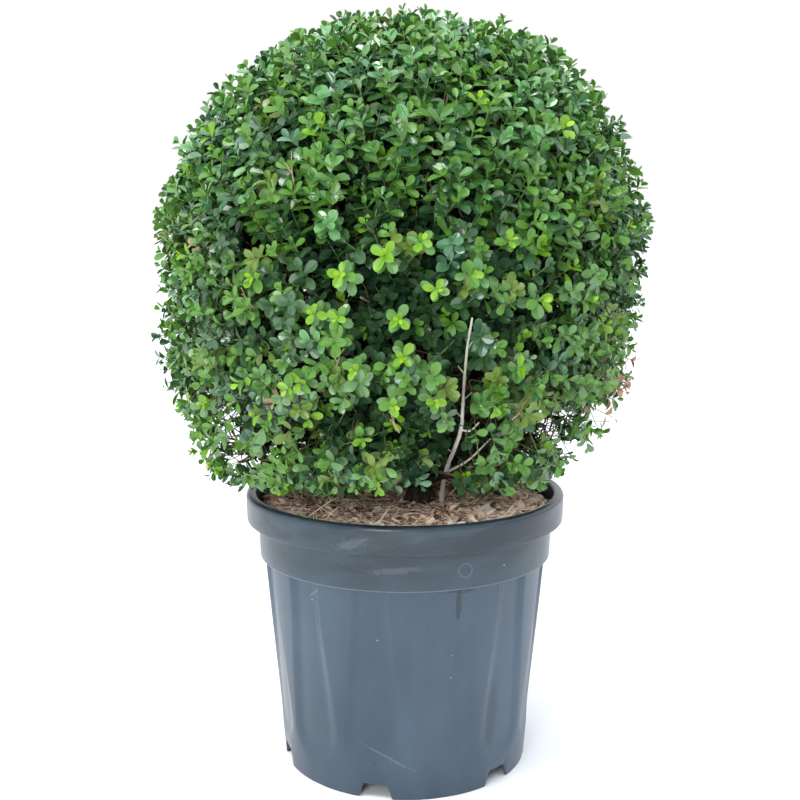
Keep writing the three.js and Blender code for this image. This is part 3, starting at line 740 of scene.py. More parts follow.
def main_shoots():
    """The ball's main shoots: foot, tip and growing way of each, drawn as for the solids."""
    b = BALL_SHOOTS
    random = seeded(b["seed"])
    found = []
    for i in range(b["count"]):
        height = 1 - (1 - b["lowest"]) * (i + 0.5) / b["count"]
        azimuth = math.degrees(i * GOLDEN_ANGLE) + b["swing"] * (random() - 0.5)
        way = heading(azimuth, math.degrees(math.asin(height)))
        far = reach(way[None])[0] - b["deep"] + b["uneven"] * (random() - 0.5)
        tip = CROWN_MIDDLE + way * far
        growing = unit(way + UP * b["lift"])
        # The solids draw one number more for each shoot.
        random()
        found.append((tip - growing * b["length"], tip, growing))
    return [np.array(part) for part in zip(*found)]


def surface_place(azimuth, height, inside):
    """A place a little inside the clipped surface, at a height, found in steps of 2 mm."""
    out = heading(azimuth)
    steps = np.arange(0, 300, 2.0)[:, None]
    along = np.array([0, 0, height]) + out * steps
    return along[np.argmax(stands_out(along) > -inside)]


def branch_lines():
    """The crown's woody branches, which grow on from the boughs' tips: lines and radii."""
    tips = [curve_through(bough_places(i), 20) for i in range(BOUGHS["count"])]
    tips.append(curve_through(trunk_places(), 20))
    ends = np.array([line[-1] for line in tips])
    leaving = unit(np.array([line[-1] - line[-4] for line in tips]))
    ways = spiral(FORKS["count"], BALL_SHOOTS["lowest"], turn=40)
    forks = CROWN_MIDDLE + ways * (reach(ways) * FORKS["share"])[:, None]
    climbing = unit(ways + UP * FORKS["lift"])
    sideways = np.linalg.norm(forks[:, None, :2] - ends[None, :, :2], axis=2)
    chosen = np.argmin(sideways, axis=1)
    to_forks = arcs(ends[chosen], leaving[chosen], forks, climbing, 12)
    lines = [(line, *FORKS["radii"]) for line in to_forks]
    feet, shoot_tips, growing = main_shoots()
    fork = np.argmin(np.linalg.norm(feet[:, None] - forks[None], axis=2), axis=1)
    to_feet = arcs(forks[fork], climbing[fork], feet, growing, 10)
    for line, tip in zip(to_feet, shoot_tips):
        last = np.linspace(line[-1], tip, 5)[1:]
        lines.append((np.vstack([line, last]), *FORKS["branch_radii"]))
    return lines + skirt_lines()


def skirt_lines():
    """The open sprays under the ball: a stem on from each low bough, and its side twigs."""
    lines = []
    half = 180 / LOW_BOUGHS["count"]
    for i in range(LOW_BOUGHS["count"]):
        random = seeded(SKIRT["seed"] + i)
        azimuth = skirt_azimuth(i)
        root = low_bough_places(i)[-1]
        stem_tip = surface_place(azimuth, root[2] + SKIRT["climb"], SKIRT["deep"])
        stem = curve_through([root, (root + stem_tip) / 2 + UP * SKIRT["arch"], stem_tip], 12)
        lines.append((stem, LOW_BOUGHS["tip_radius"], SKIRT["stem_tip_radius"]))
        for height in SKIRT["heights"]:
            for side in SKIRT["sides"]:
                turned = azimuth + (side + 0.12 * (random() - 0.5)) * half
                tip = surface_place(turned, height + 10 * (random() - 0.5), SKIRT["deep"])
                start = stem[round(11 * (0.5 - 0.45 * abs(side) + 0.2 * random()))]
                bend = (start + tip) / 2 + UP * 5 * (random() - 0.3)
                lines.append((curve_through([start, bend, tip], 9), *SKIRT["radii"]))
    return lines


def spread_round(ways):
    """Two ways at right angles to each given way."""
    aside = np.where(np.abs(ways[:, 2:]) < 0.9, UP, np.array([1.0, 0, 0]))
    first = unit(np.cross(ways, aside))
    return first, np.cross(ways, first)


def hollowed(ways):
    """How much deeper the shoots end where the crown has a hollow."""
    deeper = np.zeros(len(ways))
    for azimuth, elevation, wide, depth in HOLLOWS:
        off = np.degrees(np.arccos(np.clip(ways @ heading(azimuth, elevation), -1, 1)))
        deeper = np.maximum(deeper, depth * np.clip(1.15 - (off / wide) ** 2, 0, 1))
    return deeper


def in_opening(places, random):
    """True for places left out so that the sky shows through the openings, as seen by the camera."""
    view = np.array(settings("box_stage").place) / MM
    flat = view[::2] + (places[:, ::2] - view[::2]) * (view[1] / (view[1] - places[:, 1:2]))
    missing = np.zeros(len(places))
    for x, z, wide, share in OPENINGS:
        off = (flat[:, 0] - x) ** 2 + (flat[:, 1] - z) ** 2
        missing = np.maximum(missing, share * np.exp(-off / wide**2))
    return random.random(len(places)) < missing


def shoot_group(number, ways, tips, growing, length, pairs, bright=None):
    """The shoots of one group as named arrays."""
    count = len(ways)
    return {
        "way": ways,
        "tip": tips,
        "growing": growing,
        "length": length,
        "bright": np.zeros(count, bool) if bright is None else bright,
        "layer": np.full(count, number),
        "pairs": pairs,
    }


def grow_layer(layer, number, random):
    """The finer shoots of one layer of the crown."""
    ways = spiral(layer["count"], layer["lowest"], turn=67.0 * number)
    ways = unit(ways + random.normal(0, SHOOTS["wander"], ways.shape))
    bright = np.zeros(len(ways), bool)
    if number == OUTER:
        for spot in ROSETTES:
            nearest = np.argmax(ways @ heading(*spot))
            ways[nearest] = heading(*spot)
            bright[nearest] = True
    low, high = layer["deep"]
    deep = low + (high - low) * random.random(len(ways)) ** 1.2
    for scale, shift, seed, height in UNEVEN_DEPTHS:
        deep = deep + height * (noise(ways * scale + shift, number + seed) - 0.5)
    if number != INNER:
        deep = deep + np.where(bright, 0, hollowed(ways) * random.uniform(0.7, 1.2, len(ways)))
    deep = np.where(bright, np.minimum(deep, ROSETTE["deep"]), deep)
    tips = CROWN_MIDDLE + ways * (reach(ways) - deep)[:, None]
    high_up = np.clip(ways[:, 2], 0, 1)
    lift = SHOOTS["lift"] + SHOOTS["top_lift"] * high_up + random.normal(0, SHOOTS["lift_spread"], len(ways))
    # Those that hang under the crown rise less.
    lift = np.where(ways[:, 2] < -0.45, lift - 0.15, lift)
    lift = np.where(bright, ROSETTE["lift"], lift)[:, None]
    stray = np.where(bright, ROSETTE["stray"], SHOOTS["stray"])[:, None]
    growing = unit(ways + UP * lift + random.normal(0, 1, ways.shape) * stray)
    length = random.uniform(*layer["length"], len(ways))
    pairs = random.integers(*layer["pairs"], len(ways), endpoint=True)
    kept = (tips[:, 2] > foot_height(tips) + SHOOTS["over_foot"]) & ~in_opening(tips, random)
    kept &= random.random(len(ways)) < settings("box_crown").fullness
    return shoot_group(number, ways[kept], tips[kept], growing[kept], length[kept], pairs[kept], bright[kept])


def grow_underside(random):
    """Sprays under the crown, which reach outward from the trunk just above the lowest leaves."""
    u = UNDERSIDE
    i = np.arange(u["count"])
    radius = u["from"] + (u["to"] - u["from"]) * np.sqrt((i + 0.5) / u["count"])
    out = heading(np.degrees(i * GOLDEN_ANGLE))
    tips = out * radius[:, None]
    tips[:, 2] = foot_height(tips) + 5 + u["thick"] * random.random(len(tips))
    tips = tips[stands_out(tips) < -8]
    away = tips - CROWN_MIDDLE
    out = unit(tips * (1, 1, 0))
    growing = unit(out + UP * random.uniform(-0.25, 0.35, (len(tips), 1)) + random.normal(0, 0.3, tips.shape))
    kept = ~in_opening(tips, random)
    tips, away, growing = tips[kept], away[kept], growing[kept]
    length = random.uniform(*u["length"], len(tips))
    pairs = random.integers(*u["pairs"], len(tips), endpoint=True)
    return shoot_group(UNDER, unit(away), tips, growing, length, pairs)


def grow_strays(random):
    """Single sprays that stand out of the clipped outline."""
    spots = np.array(STRAY_SPRAYS, float)
    ways = heading(spots[:, 0], spots[:, 1])
    tips = CROWN_MIDDLE + ways * (reach(ways) + spots[:, 2] - 4)[:, None]
    growing = unit(ways + UP * random.uniform(0.0, 0.5, (len(ways), 1)) + random.normal(0, 0.15, ways.shape))
    return shoot_group(OUTER, ways, tips, growing, np.full(len(ways), 58.0), np.full(len(ways), 6))


@functools.lru_cache(maxsize=1)
def grow_crown():
    """The whole crown: branches, twigs to every finer shoot, and the shoots."""
    random = np.random.default_rng(settings("box_crown").seed)
    groups = [grow_layer(layer, number, random) for number, layer in enumerate(LAYERS)]
    groups += [grow_underside(random), grow_strays(random)]
    shoots = {key: np.concatenate([part[key] for part in groups]) for key in groups[0]}
    count = len(shoots["tip"])
    first, second = spread_round(shoots["growing"])
    turn = random.uniform(0, 2 * math.pi, count)[:, None]
    shoots["bow"] = (first * np.cos(turn) + second * np.sin(turn)) * random.uniform(0.05, 0.3, count)[:, None]
    shoots["turn"] = random.uniform(0, math.pi, count)
    shoots["foot"] = place_on_shoot(shoots, shoots["length"])
    branches = branch_lines()
    twigs = twigs_to(shoots, branches)
    # Shoots and twigs that would cross in front of the dead stem are left out.
    watched = [shoots["tip"], place_on_shoot(shoots, shoots["length"] / 2), *twigs.transpose(1, 0, 2)]
    kept = ~np.any([hides_stem(places, leaves=False) for places in watched], axis=0)
    return {key: part[kept] for key, part in shoots.items()}, branches, twigs[kept]


def place_on_shoot(shoots, back):
    """Places on the shoots, a distance back from their tips."""
    bend = (back / shoots["length"]) ** 2 * shoots["length"] * 0.5
    return shoots["tip"] - shoots["growing"] * back[:, None] - shoots["bow"] * bend[:, None]


def twigs_to(shoots, branches):
    """Bent twigs from the branches to the foot of every shoot."""
    points = np.vstack([line[3:] for line, *_ in branches])
    ways = np.vstack([unit(np.gradient(line, axis=0))[3:] for line, *_ in branches])
    feet = shoots["foot"]
    chosen = np.zeros(len(feet), int)
    for i in range(0, len(feet), 400):
        step = feet[i : i + 400, None] - points[None]
        far = np.linalg.norm(step, axis=2)
        forward = np.einsum("ijk,ijk->ij", step, np.broadcast_to(ways[None], step.shape)) / np.maximum(far, 1)
        chosen[i : i + 400] = np.argmin(far * (1.6 - forward) + 6 * (far < 6), axis=1)
    arriving = unit(shoots["growing"] + shoots["bow"])
    leaving = unit(ways[chosen] + 0.8 * unit(feet - points[chosen]))
    return arcs(points[chosen], leaving, feet, arriving, 4)


# Meshes


def mesh_piece(name, points, faces, material, smooth=True):
    """A piece from points in millimetres and one or more face arrays, each with its own number of corners."""
    sizes = np.concatenate([np.full(len(block), block.shape[1], np.int32) for block in faces])
    corners = np.concatenate([block.ravel() for block in faces]).astype(np.int32)
    mesh = bpy.data.meshes.new(name)
    mesh.vertices.add(len(points))
    mesh.vertices.foreach_set("co", (np.asarray(points) * MM).astype(np.float32).ravel())
    mesh.loops.add(len(corners))
    mesh.loops.foreach_set("vertex_index", corners)
    mesh.polygons.add(len(sizes))
    mesh.polygons.foreach_set("loop_start", np.concatenate([[0], np.cumsum(sizes)[:-1]]).astype(np.int32))
    mesh.polygons.foreach_set("use_smooth", np.full(len(sizes), smooth))
    mesh.materials.append(material)
    mesh.update(calc_edges=True)
    piece = bpy.data.objects.new(name, mesh)
    bpy.context.scene.collection.objects.link(piece)
    return piece


def settle(piece, slot, *nodes):
    """The piece rides on the plant, and stands for the nodes that it replaces. The slot is not used."""
    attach(piece, "root")
    if nodes:
        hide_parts(*nodes)


def grid_faces(rows, columns):
    """Quads of a tube-like grid whose columns close on themselves."""
    i, j = np.meshgrid(np.arange(rows - 1), np.arange(columns), indexing="ij")
    a, b = i * columns + j, i * columns + (j + 1) % columns
    return np.stack([a, b, b + columns, a + columns], -1).reshape(-1, 4)


def fanned(points, columns, foot, tip):
    """A tube-like grid closed by a fan at each end, round the places foot and tip: its points and faces."""
    rows = len(points) // columns
    j = np.arange(columns)
    after = (j + 1) % columns
    last = (rows - 1) * columns
    centre = np.full(columns, len(points))
    fans = [np.stack([centre, after, j], 1), np.stack([centre + 1, last + j, last + after], 1)]
    return np.vstack([points, foot, tip]), [grid_faces(rows, columns), *fans]


def tube_faces(count, rings, sides):
    """Walls and end caps of equal tubes whose points lie ring by ring."""
    start = (np.arange(count) * rings * sides)[:, None, None]
    ring = np.arange(sides)
    caps = np.array([ring[::-1], ring + (rings - 1) * sides])
    return [(grid_faces(rings, sides) + start).reshape(-1, 4), (caps + start).reshape(-1, sides)]


def rings_round(lines, aside, sides):
    """Unit ways round every place of the lines, at right angles to them. The first lies towards aside."""
    along = unit(np.gradient(lines, axis=-2))
    first = unit(np.cross(along, np.cross(aside, along)))
    second = np.cross(along, first)
    angle = (np.arange(sides) * 2 * math.pi / sides)[:, None]
    return first[..., None, :] * np.cos(angle) + second[..., None, :] * np.sin(angle)


def tubes(lines, radii, sides):
    """Points and faces of closed tubes. Lines are (N, K, 3), and radii (K), (N, 1) or (N, K)."""
    lines = np.asarray(lines, float)
    radii = np.broadcast_to(radii, lines.shape[:2])
    aside, _ = spread_round(unit(np.gradient(lines, axis=1)).mean(axis=1))
    ring = rings_round(lines, aside[:, None], sides)
    points = lines[:, :, None] + ring * radii[:, :, None, None]
    return points.reshape(-1, 3), tube_faces(*radii.shape, sides)


def tube_piece(name, lines, radii, sides, material, slot):
    """One piece of many tubes."""
    settle(mesh_piece(name, *tubes(lines, radii, sides), material), slot)


# Materials


def new_material(name):
    """A new material, with its node tree and its shader."""
    material = bpy.data.materials.new(name)
    material.use_nodes = True
    tree = material.node_tree
    return material, tree, tree.nodes["Principled BSDF"]


def put(tree, kind, links, **values):
    """A node with inputs set by name or index: links join sockets, values set attributes of the node."""
    node = tree.nodes.new(kind)
    for key, value in values.items():
        setattr(node, key, value)
    for key, value in links.items():
        if isinstance(value, bpy.types.NodeSocket):
            tree.links.new(value, node.inputs[key])
        else:
            node.inputs[key].default_value = value
    return node.outputs


def maths(tree, kind, a, b=0.0):
    """The value of a sum on one or two values."""
    return put(tree, "ShaderNodeMath", {0: a, 1: b}, operation=kind)[0]


def ranged(tree, value, low, high, to=(0.0, 1.0), smooth=False):
    """A value carried over from one range to another, evenly or smoothly."""
    links = {"Value": value, "From Min": low, "From Max": high, "To Min": to[0], "To Max": to[1]}
    kind = "SMOOTHSTEP" if smooth else "LINEAR"
    return put(tree, "ShaderNodeMapRange", links, interpolation_type=kind)["Result"]


def mixed(tree, share, colour_a, colour_b, kind="MIX"):
    """A mix of two colours."""
    links = {0: share, 6: colour_a, 7: colour_b}
    return put(tree, "ShaderNodeMix", links, data_type="RGBA", blend_type=kind)[2]


def parts_of(tree, way="Object"):
    """Places on the object, or another kind of coordinates, and their x, y and z."""
    where = put(tree, "ShaderNodeTexCoord", {})[way]
    return where, put(tree, "ShaderNodeSeparateXYZ", {0: where})


def clouds(tree, where, scale, detail, roughness, stretch=None):
    """The value of noise at places, which may be stretched first."""
    if stretch is not None:
        where = put(tree, "ShaderNodeVectorMath", {0: where, 1: stretch}, operation="MULTIPLY")[0]
    links = {"Vector": where, "Scale": scale, "Detail": detail, "Roughness": roughness}
    return put(tree, "ShaderNodeTexNoise", links)["Fac"]


def group(name, inputs, outputs):
    """A shader node group with named sockets, and the sockets that it takes from and gives to."""
    tree = bpy.data.node_groups.new(name, "ShaderNodeTree")
    for label, value in inputs.items():
        kind = SOCKETS[np.size(value)]
        tree.interface.new_socket(label, in_out="INPUT", socket_type=kind).default_value = value
    for label, size in outputs.items():
        tree.interface.new_socket(label, in_out="OUTPUT", socket_type=SOCKETS[size])
    return tree, tree.nodes.new("NodeGroupInput").outputs, tree.nodes.new("NodeGroupOutput").inputs


def use(tree, made, inputs, values):
    """The outputs of a placed group whose inputs take the values in turn."""
    return put(tree, "ShaderNodeGroup", dict(zip(inputs, values)), node_tree=made)


def colour4(colour):
    """A colour as node sockets take it."""
    return (*colour, 1.0)


@functools.lru_cache(maxsize=1)
def mottle_group():
    """Mixes two colours by uneven noise, and gives the noise."""
    tree, given, out = group("Mottle", MOTTLE_INPUTS, {"Colour": 4, "Mask": 1})
    where, _ = parts_of(tree)
    value = clouds(tree, where, given["Scale"], 6.0, 0.6, given["Stretch"])
    level = maths(tree, "SUBTRACT", 1.0, given["Share of B"])
    low = maths(tree, "SUBTRACT", level, given["Softness"])
    high = maths(tree, "ADD", level, given["Softness"])
    mask = ranged(tree, value, low, high, smooth=True)
    tree.links.new(mixed(tree, mask, given["Colour A"], given["Colour B"]), out["Colour"])
    tree.links.new(mask, out["Mask"])
    return tree


@functools.lru_cache(maxsize=1)
def grain_group():
    """A normal made bumpy by fine noise."""
    tree, given, out = group("Grain", GRAIN_INPUTS, {"Normal": 3})
    where, _ = parts_of(tree)
    value = clouds(tree, where, given["Scale"], 5.0, 0.65, given["Stretch"])
    links = {"Strength": given["Strength"], "Distance": given["Depth"], "Height": value}
    tree.links.new(put(tree, "ShaderNodeBump", links)["Normal"], out["Normal"])
    return tree


def plain_material(name, colour, roughness, level):
    """A plain colour, as the floor and each kind of leaf have, with its roughness and specular level."""
    material, _, shader = new_material(name)
    shader.inputs["Base Color"].default_value = colour4(colour)
    shader.inputs["Roughness"].default_value = roughness
    shader.inputs["Specular IOR Level"].default_value = level
    return material


def grained_material(name, colour_a, colour_b, scale, share, roughness, bump, stretch=(1, 1, 1)):
    """Two mottled colours with a fine grain: bark, dead wood, chips and soil."""
    material, tree, shader = new_material(name)
    colours = (colour4(colour_a), colour4(colour_b))
    mottle = use(tree, mottle_group(), MOTTLE_INPUTS, (*colours, scale, share, 0.15, stretch))
    grain = use(tree, grain_group(), GRAIN_INPUTS, (scale * 3, 0.6, bump * MM, stretch))
    tree.links.new(mottle["Colour"], shader.inputs["Base Color"])
    tree.links.new(grain["Normal"], shader.inputs["Normal"])
    shader.inputs["Roughness"].default_value = roughness
    shader.inputs["Specular IOR Level"].default_value = 0.25
    return material


def paint_shade_above(material, colour, low, high, share):
    """Paints shade into a material's base colour, which turns towards a darker one between two heights."""
    tree = material.node_tree
    shader = tree.nodes["Principled BSDF"]
    _, parts = parts_of(tree)
    mask = ranged(tree, parts["Z"], low, high, (0.0, share), smooth=True)
    base = shader.inputs["Base Color"].links[0].from_socket
    tree.links.new(mixed(tree, mask, base, colour4(colour)), shader.inputs["Base Color"])


# The pot


def body_radius(z):
    """The radius of the pot's outside at a height below the collar."""
    return POT["foot_radius"] + (POT["body_radius"] - POT["foot_radius"]) * z / POT["collar_foot"]


def rounded(start, corner, end, steps=4):
    """Places of a rounded corner between two places of a section."""
    t = np.linspace(0, 1, steps + 1)[:, None]
    start, corner, end = (np.array(p, float) for p in (start, corner, end))
    return (start * (1 - t) ** 2 + 2 * corner * t * (1 - t) + end * t**2).tolist()


def pot_section():
    """The pot's section from the middle of its underside round the outside to the middle of its floor.

    Each row is a radius and a height.
    """
    p = POT
    foot, wall, collar, height = p["foot_radius"], p["wall"], p["collar_radius"], p["height"]
    floor, low, body, rim = p["floor_height"], p["collar_foot"], p["body_radius"], p["rim_radius"]
    inside = foot - wall
    edge = collar - p["collar_taper"]
    band = height - p["rim_band"]
    rows = [(r, floor) for r in (45, 90, 125, inside - 1.5)]
    rows += rounded((inside - 0.6, floor - 0.4), (inside - 0.4, floor - 1), (inside - 0.4, 13), 3)
    rows += [(inside - 0.2, 7)]
    rows += rounded((inside, 1), (inside + 0.1, 0), (inside + 1, 0), 3)
    rows += rounded((foot - 1.1, 0), (foot, 0), (body_radius(1.2), 1.2), 3)
    rows += [(body_radius(z), z) for z in np.linspace(4, low - 3, 30)]
    rows += rounded((body_radius(low - 1), low - 1), (body + 0.1, low), (body + 1.2, low), 3)
    rows += rounded((edge - 1.3, low), (edge, low), (edge + 0.1, low + 1.4))
    rows += [(edge + 0.5, 252), (edge + 1.0, 265)]
    rows += rounded((collar, band - 2.2), (collar + 0.1, band), (collar + 2.2, band))
    rows += rounded((rim - 2.4, band), (rim - 0.7, band), (rim - 0.6, band + 1.8))
    rows += [(rim - 0.45, band + 9), (rim - 0.2, band + 18)]
    bend = p["rim_round"]
    for turn in np.radians(np.linspace(0, 90, 8)):
        rows.append((rim - bend * (1 - math.cos(turn)), height - bend * (1 - math.sin(turn))))
    mouth = rim - p["lip"]
    rows += rounded((mouth + 1.6, height - 0.6), (mouth, height - 1), (mouth - 0.4, height - 3))
    rows += [(mouth - 1.4, 300), (collar - wall, band), (edge - wall, low + 3)]
    rows += [(body_radius(z) - wall, z) for z in np.linspace(low - 4, 24, 18)]
    top = floor + p["floor_thickness"]
    rows += [(body_radius(top) - wall, top), (90, top), (45, top)]
    return np.array(rows)


def pot_angles():
    """The pot's columns: each one's offset from the middle of its flute, and that flute's azimuth."""
    half = np.array(FLUTE_COLUMNS)
    offsets = np.concatenate([-half[::-1], [0], half, [FLUTE_PITCH / 2]])
    centres = FLUTES["phase"] + np.arange(FLUTES["count"]) * FLUTE_PITCH
    return np.tile(offsets, len(centres)), np.repeat(centres, len(offsets))


def pot_points():
    """The pot's points, row by row, with the flutes pressed in and the notches cut into the foot."""
    rows = pot_section()
    offsets, centres = pot_angles()
    radius, height = rows[:, :1], rows[:, 1:]
    f = FLUTES
    wall = (height < POT["collar_foot"] - 0.5) & (radius > body_radius(height) - POT["wall"] - 1.5)
    widened = smooth_step(-height, -f["narrow_above"], -f["wide_below"])
    half = f["half_angle"] + (f["low_half_angle"] - f["half_angle"]) * widened
    # The columns follow the flutes' edges, and stand evenly again at the foot, where the notches are.
    stretch = 1 + (half / f["half_angle"] - 1) * smooth_step(height, *f["even"])
    away = np.abs(offsets)
    pivot = COLUMN_PIVOT * stretch
    end = FLUTE_PITCH / 2
    beyond = pivot + (end - pivot) * (away - COLUMN_PIVOT) / (end - COLUMN_PIVOT)
    pushed = np.where(away < COLUMN_PIVOT, away * stretch, beyond)
    angle = np.where(wall, np.sign(offsets) * pushed, offsets)
    below = np.clip((f["tongue"] - height) / f["tongue_height"], 0, 1)
    edge = np.hypot(np.abs(angle) / half, below)
    drop = np.clip((POT["collar_foot"] - height) / (POT["collar_foot"] - f["tongue"]), 0, 1)
    depth = f["depth"] + (f["low_depth"] - f["depth"]) * drop
    sink = np.where(wall, depth * (1 - smooth_step(edge, *f["edge"])), 0)
    # Every second flute ends in a notch.
    notched = np.round((centres - f["phase"]) / FLUTE_PITCH) % 2 == 0
    cut = 1 - smooth_step(np.abs(angle), NOTCH["top"], NOTCH["foot"])
    lift = np.where(notched, NOTCH["height"] * cut, 0)
    low = np.clip(1 - height / NOTCH["blend"], 0, 1)
    foot_ring = radius > POT["foot_radius"] - POT["wall"] - 0.7
    points = heading(centres + angle) * (radius - sink)[..., None]
    points[..., 2] = height + np.where(foot_ring, lift * low, 0)
    return points


@functools.lru_cache(maxsize=1)
def smear_group():
    """A ragged oval mark on the pot's outside. Places are metres round from the front, and up."""
    tree, given, out = group("Smear", SMEAR_INPUTS, {"Mask": 1, "Ring": 1})
    where, parts = parts_of(tree)
    turned = maths(tree, "ARCTAN2", parts["X"], maths(tree, "MULTIPLY", parts["Y"], -1.0))
    around = maths(tree, "SUBTRACT", maths(tree, "MULTIPLY", turned, MARK_RADIUS), given["Around"])
    rise = maths(tree, "SUBTRACT", parts["Z"], given["Up"])
    rise = maths(tree, "SUBTRACT", rise, maths(tree, "MULTIPLY", around, given["Slant"]))
    squares = []
    for off, half in ((around, "Half width"), (rise, "Half height")):
        share = maths(tree, "ABSOLUTE", maths(tree, "DIVIDE", off, given[half]))
        squares.append(maths(tree, "POWER", share, 2.0))
    far = maths(tree, "SQRT", maths(tree, "ADD", *squares))
    torn = maths(tree, "SUBTRACT", clouds(tree, where, given["Scale"], 4.0, 0.6), 0.5)
    far = maths(tree, "ADD", far, maths(tree, "MULTIPLY", torn, given["Ragged"]))
    low = maths(tree, "SUBTRACT", 1.0, given["Softness"])
    high = maths(tree, "ADD", 1.0, given["Softness"])
    tree.links.new(ranged(tree, far, high, low, smooth=True), out["Mask"])
    off_ring = maths(tree, "ABSOLUTE", maths(tree, "SUBTRACT", far, 1.0))
    tree.links.new(ranged(tree, off_ring, given["Softness"], 0.0, smooth=True), out["Ring"])
    return tree


def pot_material():
    """Moulded blue-grey plastic with a film of dust, wiped patches, a drip, pale specks and a painted
    highlight along the collar's lower edge.
    """
    look = settings("box_pot")
    material, tree, shader = new_material("pot_plastic")
    colours = (colour4(look.plastic), colour4(look.dust))
    body = use(tree, mottle_group(), MOTTLE_INPUTS, (*colours, 7.0, 0.46, 0.3, (1.6, 1.6, 0.6)))
    colours = (colour4(look.rim), colour4(look.rim_dust))
    rim = use(tree, mottle_group(), MOTTLE_INPUTS, (*colours, 16.0, 0.44, 0.16, (0.7, 0.7, 2.0)))
    where, parts = parts_of(tree)
    height = parts["Z"]
    band = (POT["height"] - POT["rim_band"]) * MM
    foot = POT["collar_foot"] * MM
    cleaner = ranged(tree, height, foot, band + 0.001, (0.6, 1.0))
    on_rim = maths(tree, "MULTIPLY", cleaner, ranged(tree, height, foot - 0.0006, foot))
    colour = mixed(tree, on_rim, body["Colour"], rim["Colour"])
    roughness = ranged(tree, body["Mask"], 0.0, 1.0, (look.roughness, look.roughness + 0.14))

    def mark(values):
        return use(tree, smear_group(), SMEAR_INPUTS, values)

    for values, strength in WET_MARKS:
        wet = maths(tree, "MULTIPLY", mark(values)["Mask"], strength)
        colour = mixed(tree, wet, colour, colour4(look.wet))
        links = {0: wet, 2: roughness, 3: look.roughness - 0.06}
        roughness = put(tree, "ShaderNodeMix", links, data_type="FLOAT")[0]
    pale = [(mark(values)["Mask"], strength) for values, strength in PALE_MARKS]
    values, strength = RING_MARK
    pale.append((mark(values)["Ring"], strength))
    # Painted highlight: a thin pale line just above the collar's lower edge, where that edge would catch the
    # light
    above, outside, within, strength = EDGE_HIGHLIGHT
    off_edge = maths(tree, "ABSOLUTE", maths(tree, "SUBTRACT", height, (POT["collar_foot"] + above) * MM))
    pale.append((ranged(tree, off_edge, outside, within), strength))
    for scale, size in SPECKS:
        drops = put(tree, "ShaderNodeTexVoronoi", {"Vector": where, "Scale": scale, "Randomness": 1.0})
        value = put(tree, "ShaderNodeSeparateColor", {0: drops["Color"]})[0]
        chosen = maths(tree, "LESS_THAN", value, SPECK_SHARE)
        close = maths(tree, "LESS_THAN", drops["Distance"], size)
        pale.append((maths(tree, "MULTIPLY", chosen, close), SPECK_STRENGTH))
    for mask, strength in pale:
        colour = mixed(tree, maths(tree, "MULTIPLY", mask, strength), colour, colour4(look.scratch_and_highlight))
    tree.links.new(colour, shader.inputs["Base Color"])
    tree.links.new(roughness, shader.inputs["Roughness"])
    grain = use(tree, grain_group(), GRAIN_INPUTS, (42.0, 0.22, 0.0008, (1.5, 1.5, 0.3)))
    tree.links.new(grain["Normal"], shader.inputs["Normal"])
    shader.inputs["Specular IOR Level"].default_value = 0.5
    return material


def build_pot():
    """The moulded pot in one closed piece."""
    points = pot_points()
    floor = POT["floor_height"]
    ends = ([0, 0, floor], [0, 0, floor + POT["floor_thickness"]])
    points, faces = fanned(points.reshape(-1, 3), points.shape[1], *ends)
    piece = mesh_piece("nursery_pot", points, faces, pot_material())
    piece.data.set_sharp_from_angle(angle=math.radians(40))
    settle(piece, "pot_plastic", "pot")


# The soil and what lies on it


def soil_height(places):
    """The uneven top of the potting mix at x and y."""
    height = SOIL["height"] - SOIL["sunk"]
    for size, layer, seed, high in SOIL_BUMPS:
        at = np.column_stack([places[:, :2] / size, np.full(len(places), layer)])
        height = height + high * (noise(at, seed) - 0.5)
    return height


def build_soil():
    """The potting mix: an uneven top over a plug that fills the pot's mouth."""
    look = settings("box_soil")
    radii = np.linspace(4, SOIL["inside"] - 0.4, 46)
    columns = 150
    ways = heading(np.arange(columns) * 360 / columns)
    top = radii[::-1, None, None] * ways
    flat = top.reshape(-1, 3)
    flat[:, 2] = soil_height(flat)
    foot = ways * (SOIL["inside"] - 2)
    foot[:, 2] = SOIL["foot"]
    middle_top = [0, 0, soil_height(np.zeros((1, 3)))[0]]
    points, faces = fanned(np.vstack([foot, flat]), columns, [0, 0, SOIL["foot"]], middle_top)
    material = grained_material("potting_mix", look.mix, look.dark, 220, 0.5, 0.95, 1.2)
    settle(mesh_piece("potting_mix", points, faces, material), "soil", "potting_soil")


def scattered(count, random, near_rim=0.0):
    """Places on the soil's top and clear of the trunk. Near_rim draws them towards the front of the rim."""
    edge = SOIL["inside"] - SOIL["margin"]
    radius = edge * np.sqrt(random.random(count))
    azimuth = random.uniform(-180, 180, count)
    drawn = random.random(count) < near_rim
    azimuth = np.where(drawn, random.normal(0, 38, count), azimuth)
    radius = np.where(drawn, edge - np.abs(random.normal(0, 16, count)), radius)
    places = heading(azimuth) * radius[:, None]
    from_trunk = np.hypot(places[:, 0] - TRUNK["x"], places[:, 1] - TRUNK["y"])
    places = places[from_trunk > SOIL["round_trunk"]]
    places[:, 2] = soil_height(places)
    return places


def turned_frames(count, random, tilt):
    """Flat-lying frames with a random turn and a small tilt: along, across and face of each."""
    turn = random.uniform(0, 2 * math.pi, count)
    along = unit(np.stack([np.cos(turn), np.sin(turn), random.normal(0, tilt, count)], 1))
    face = unit(UP + random.normal(0, tilt, (count, 3)))
    across = unit(np.cross(face, along))
    return along, across, np.cross(along, across)


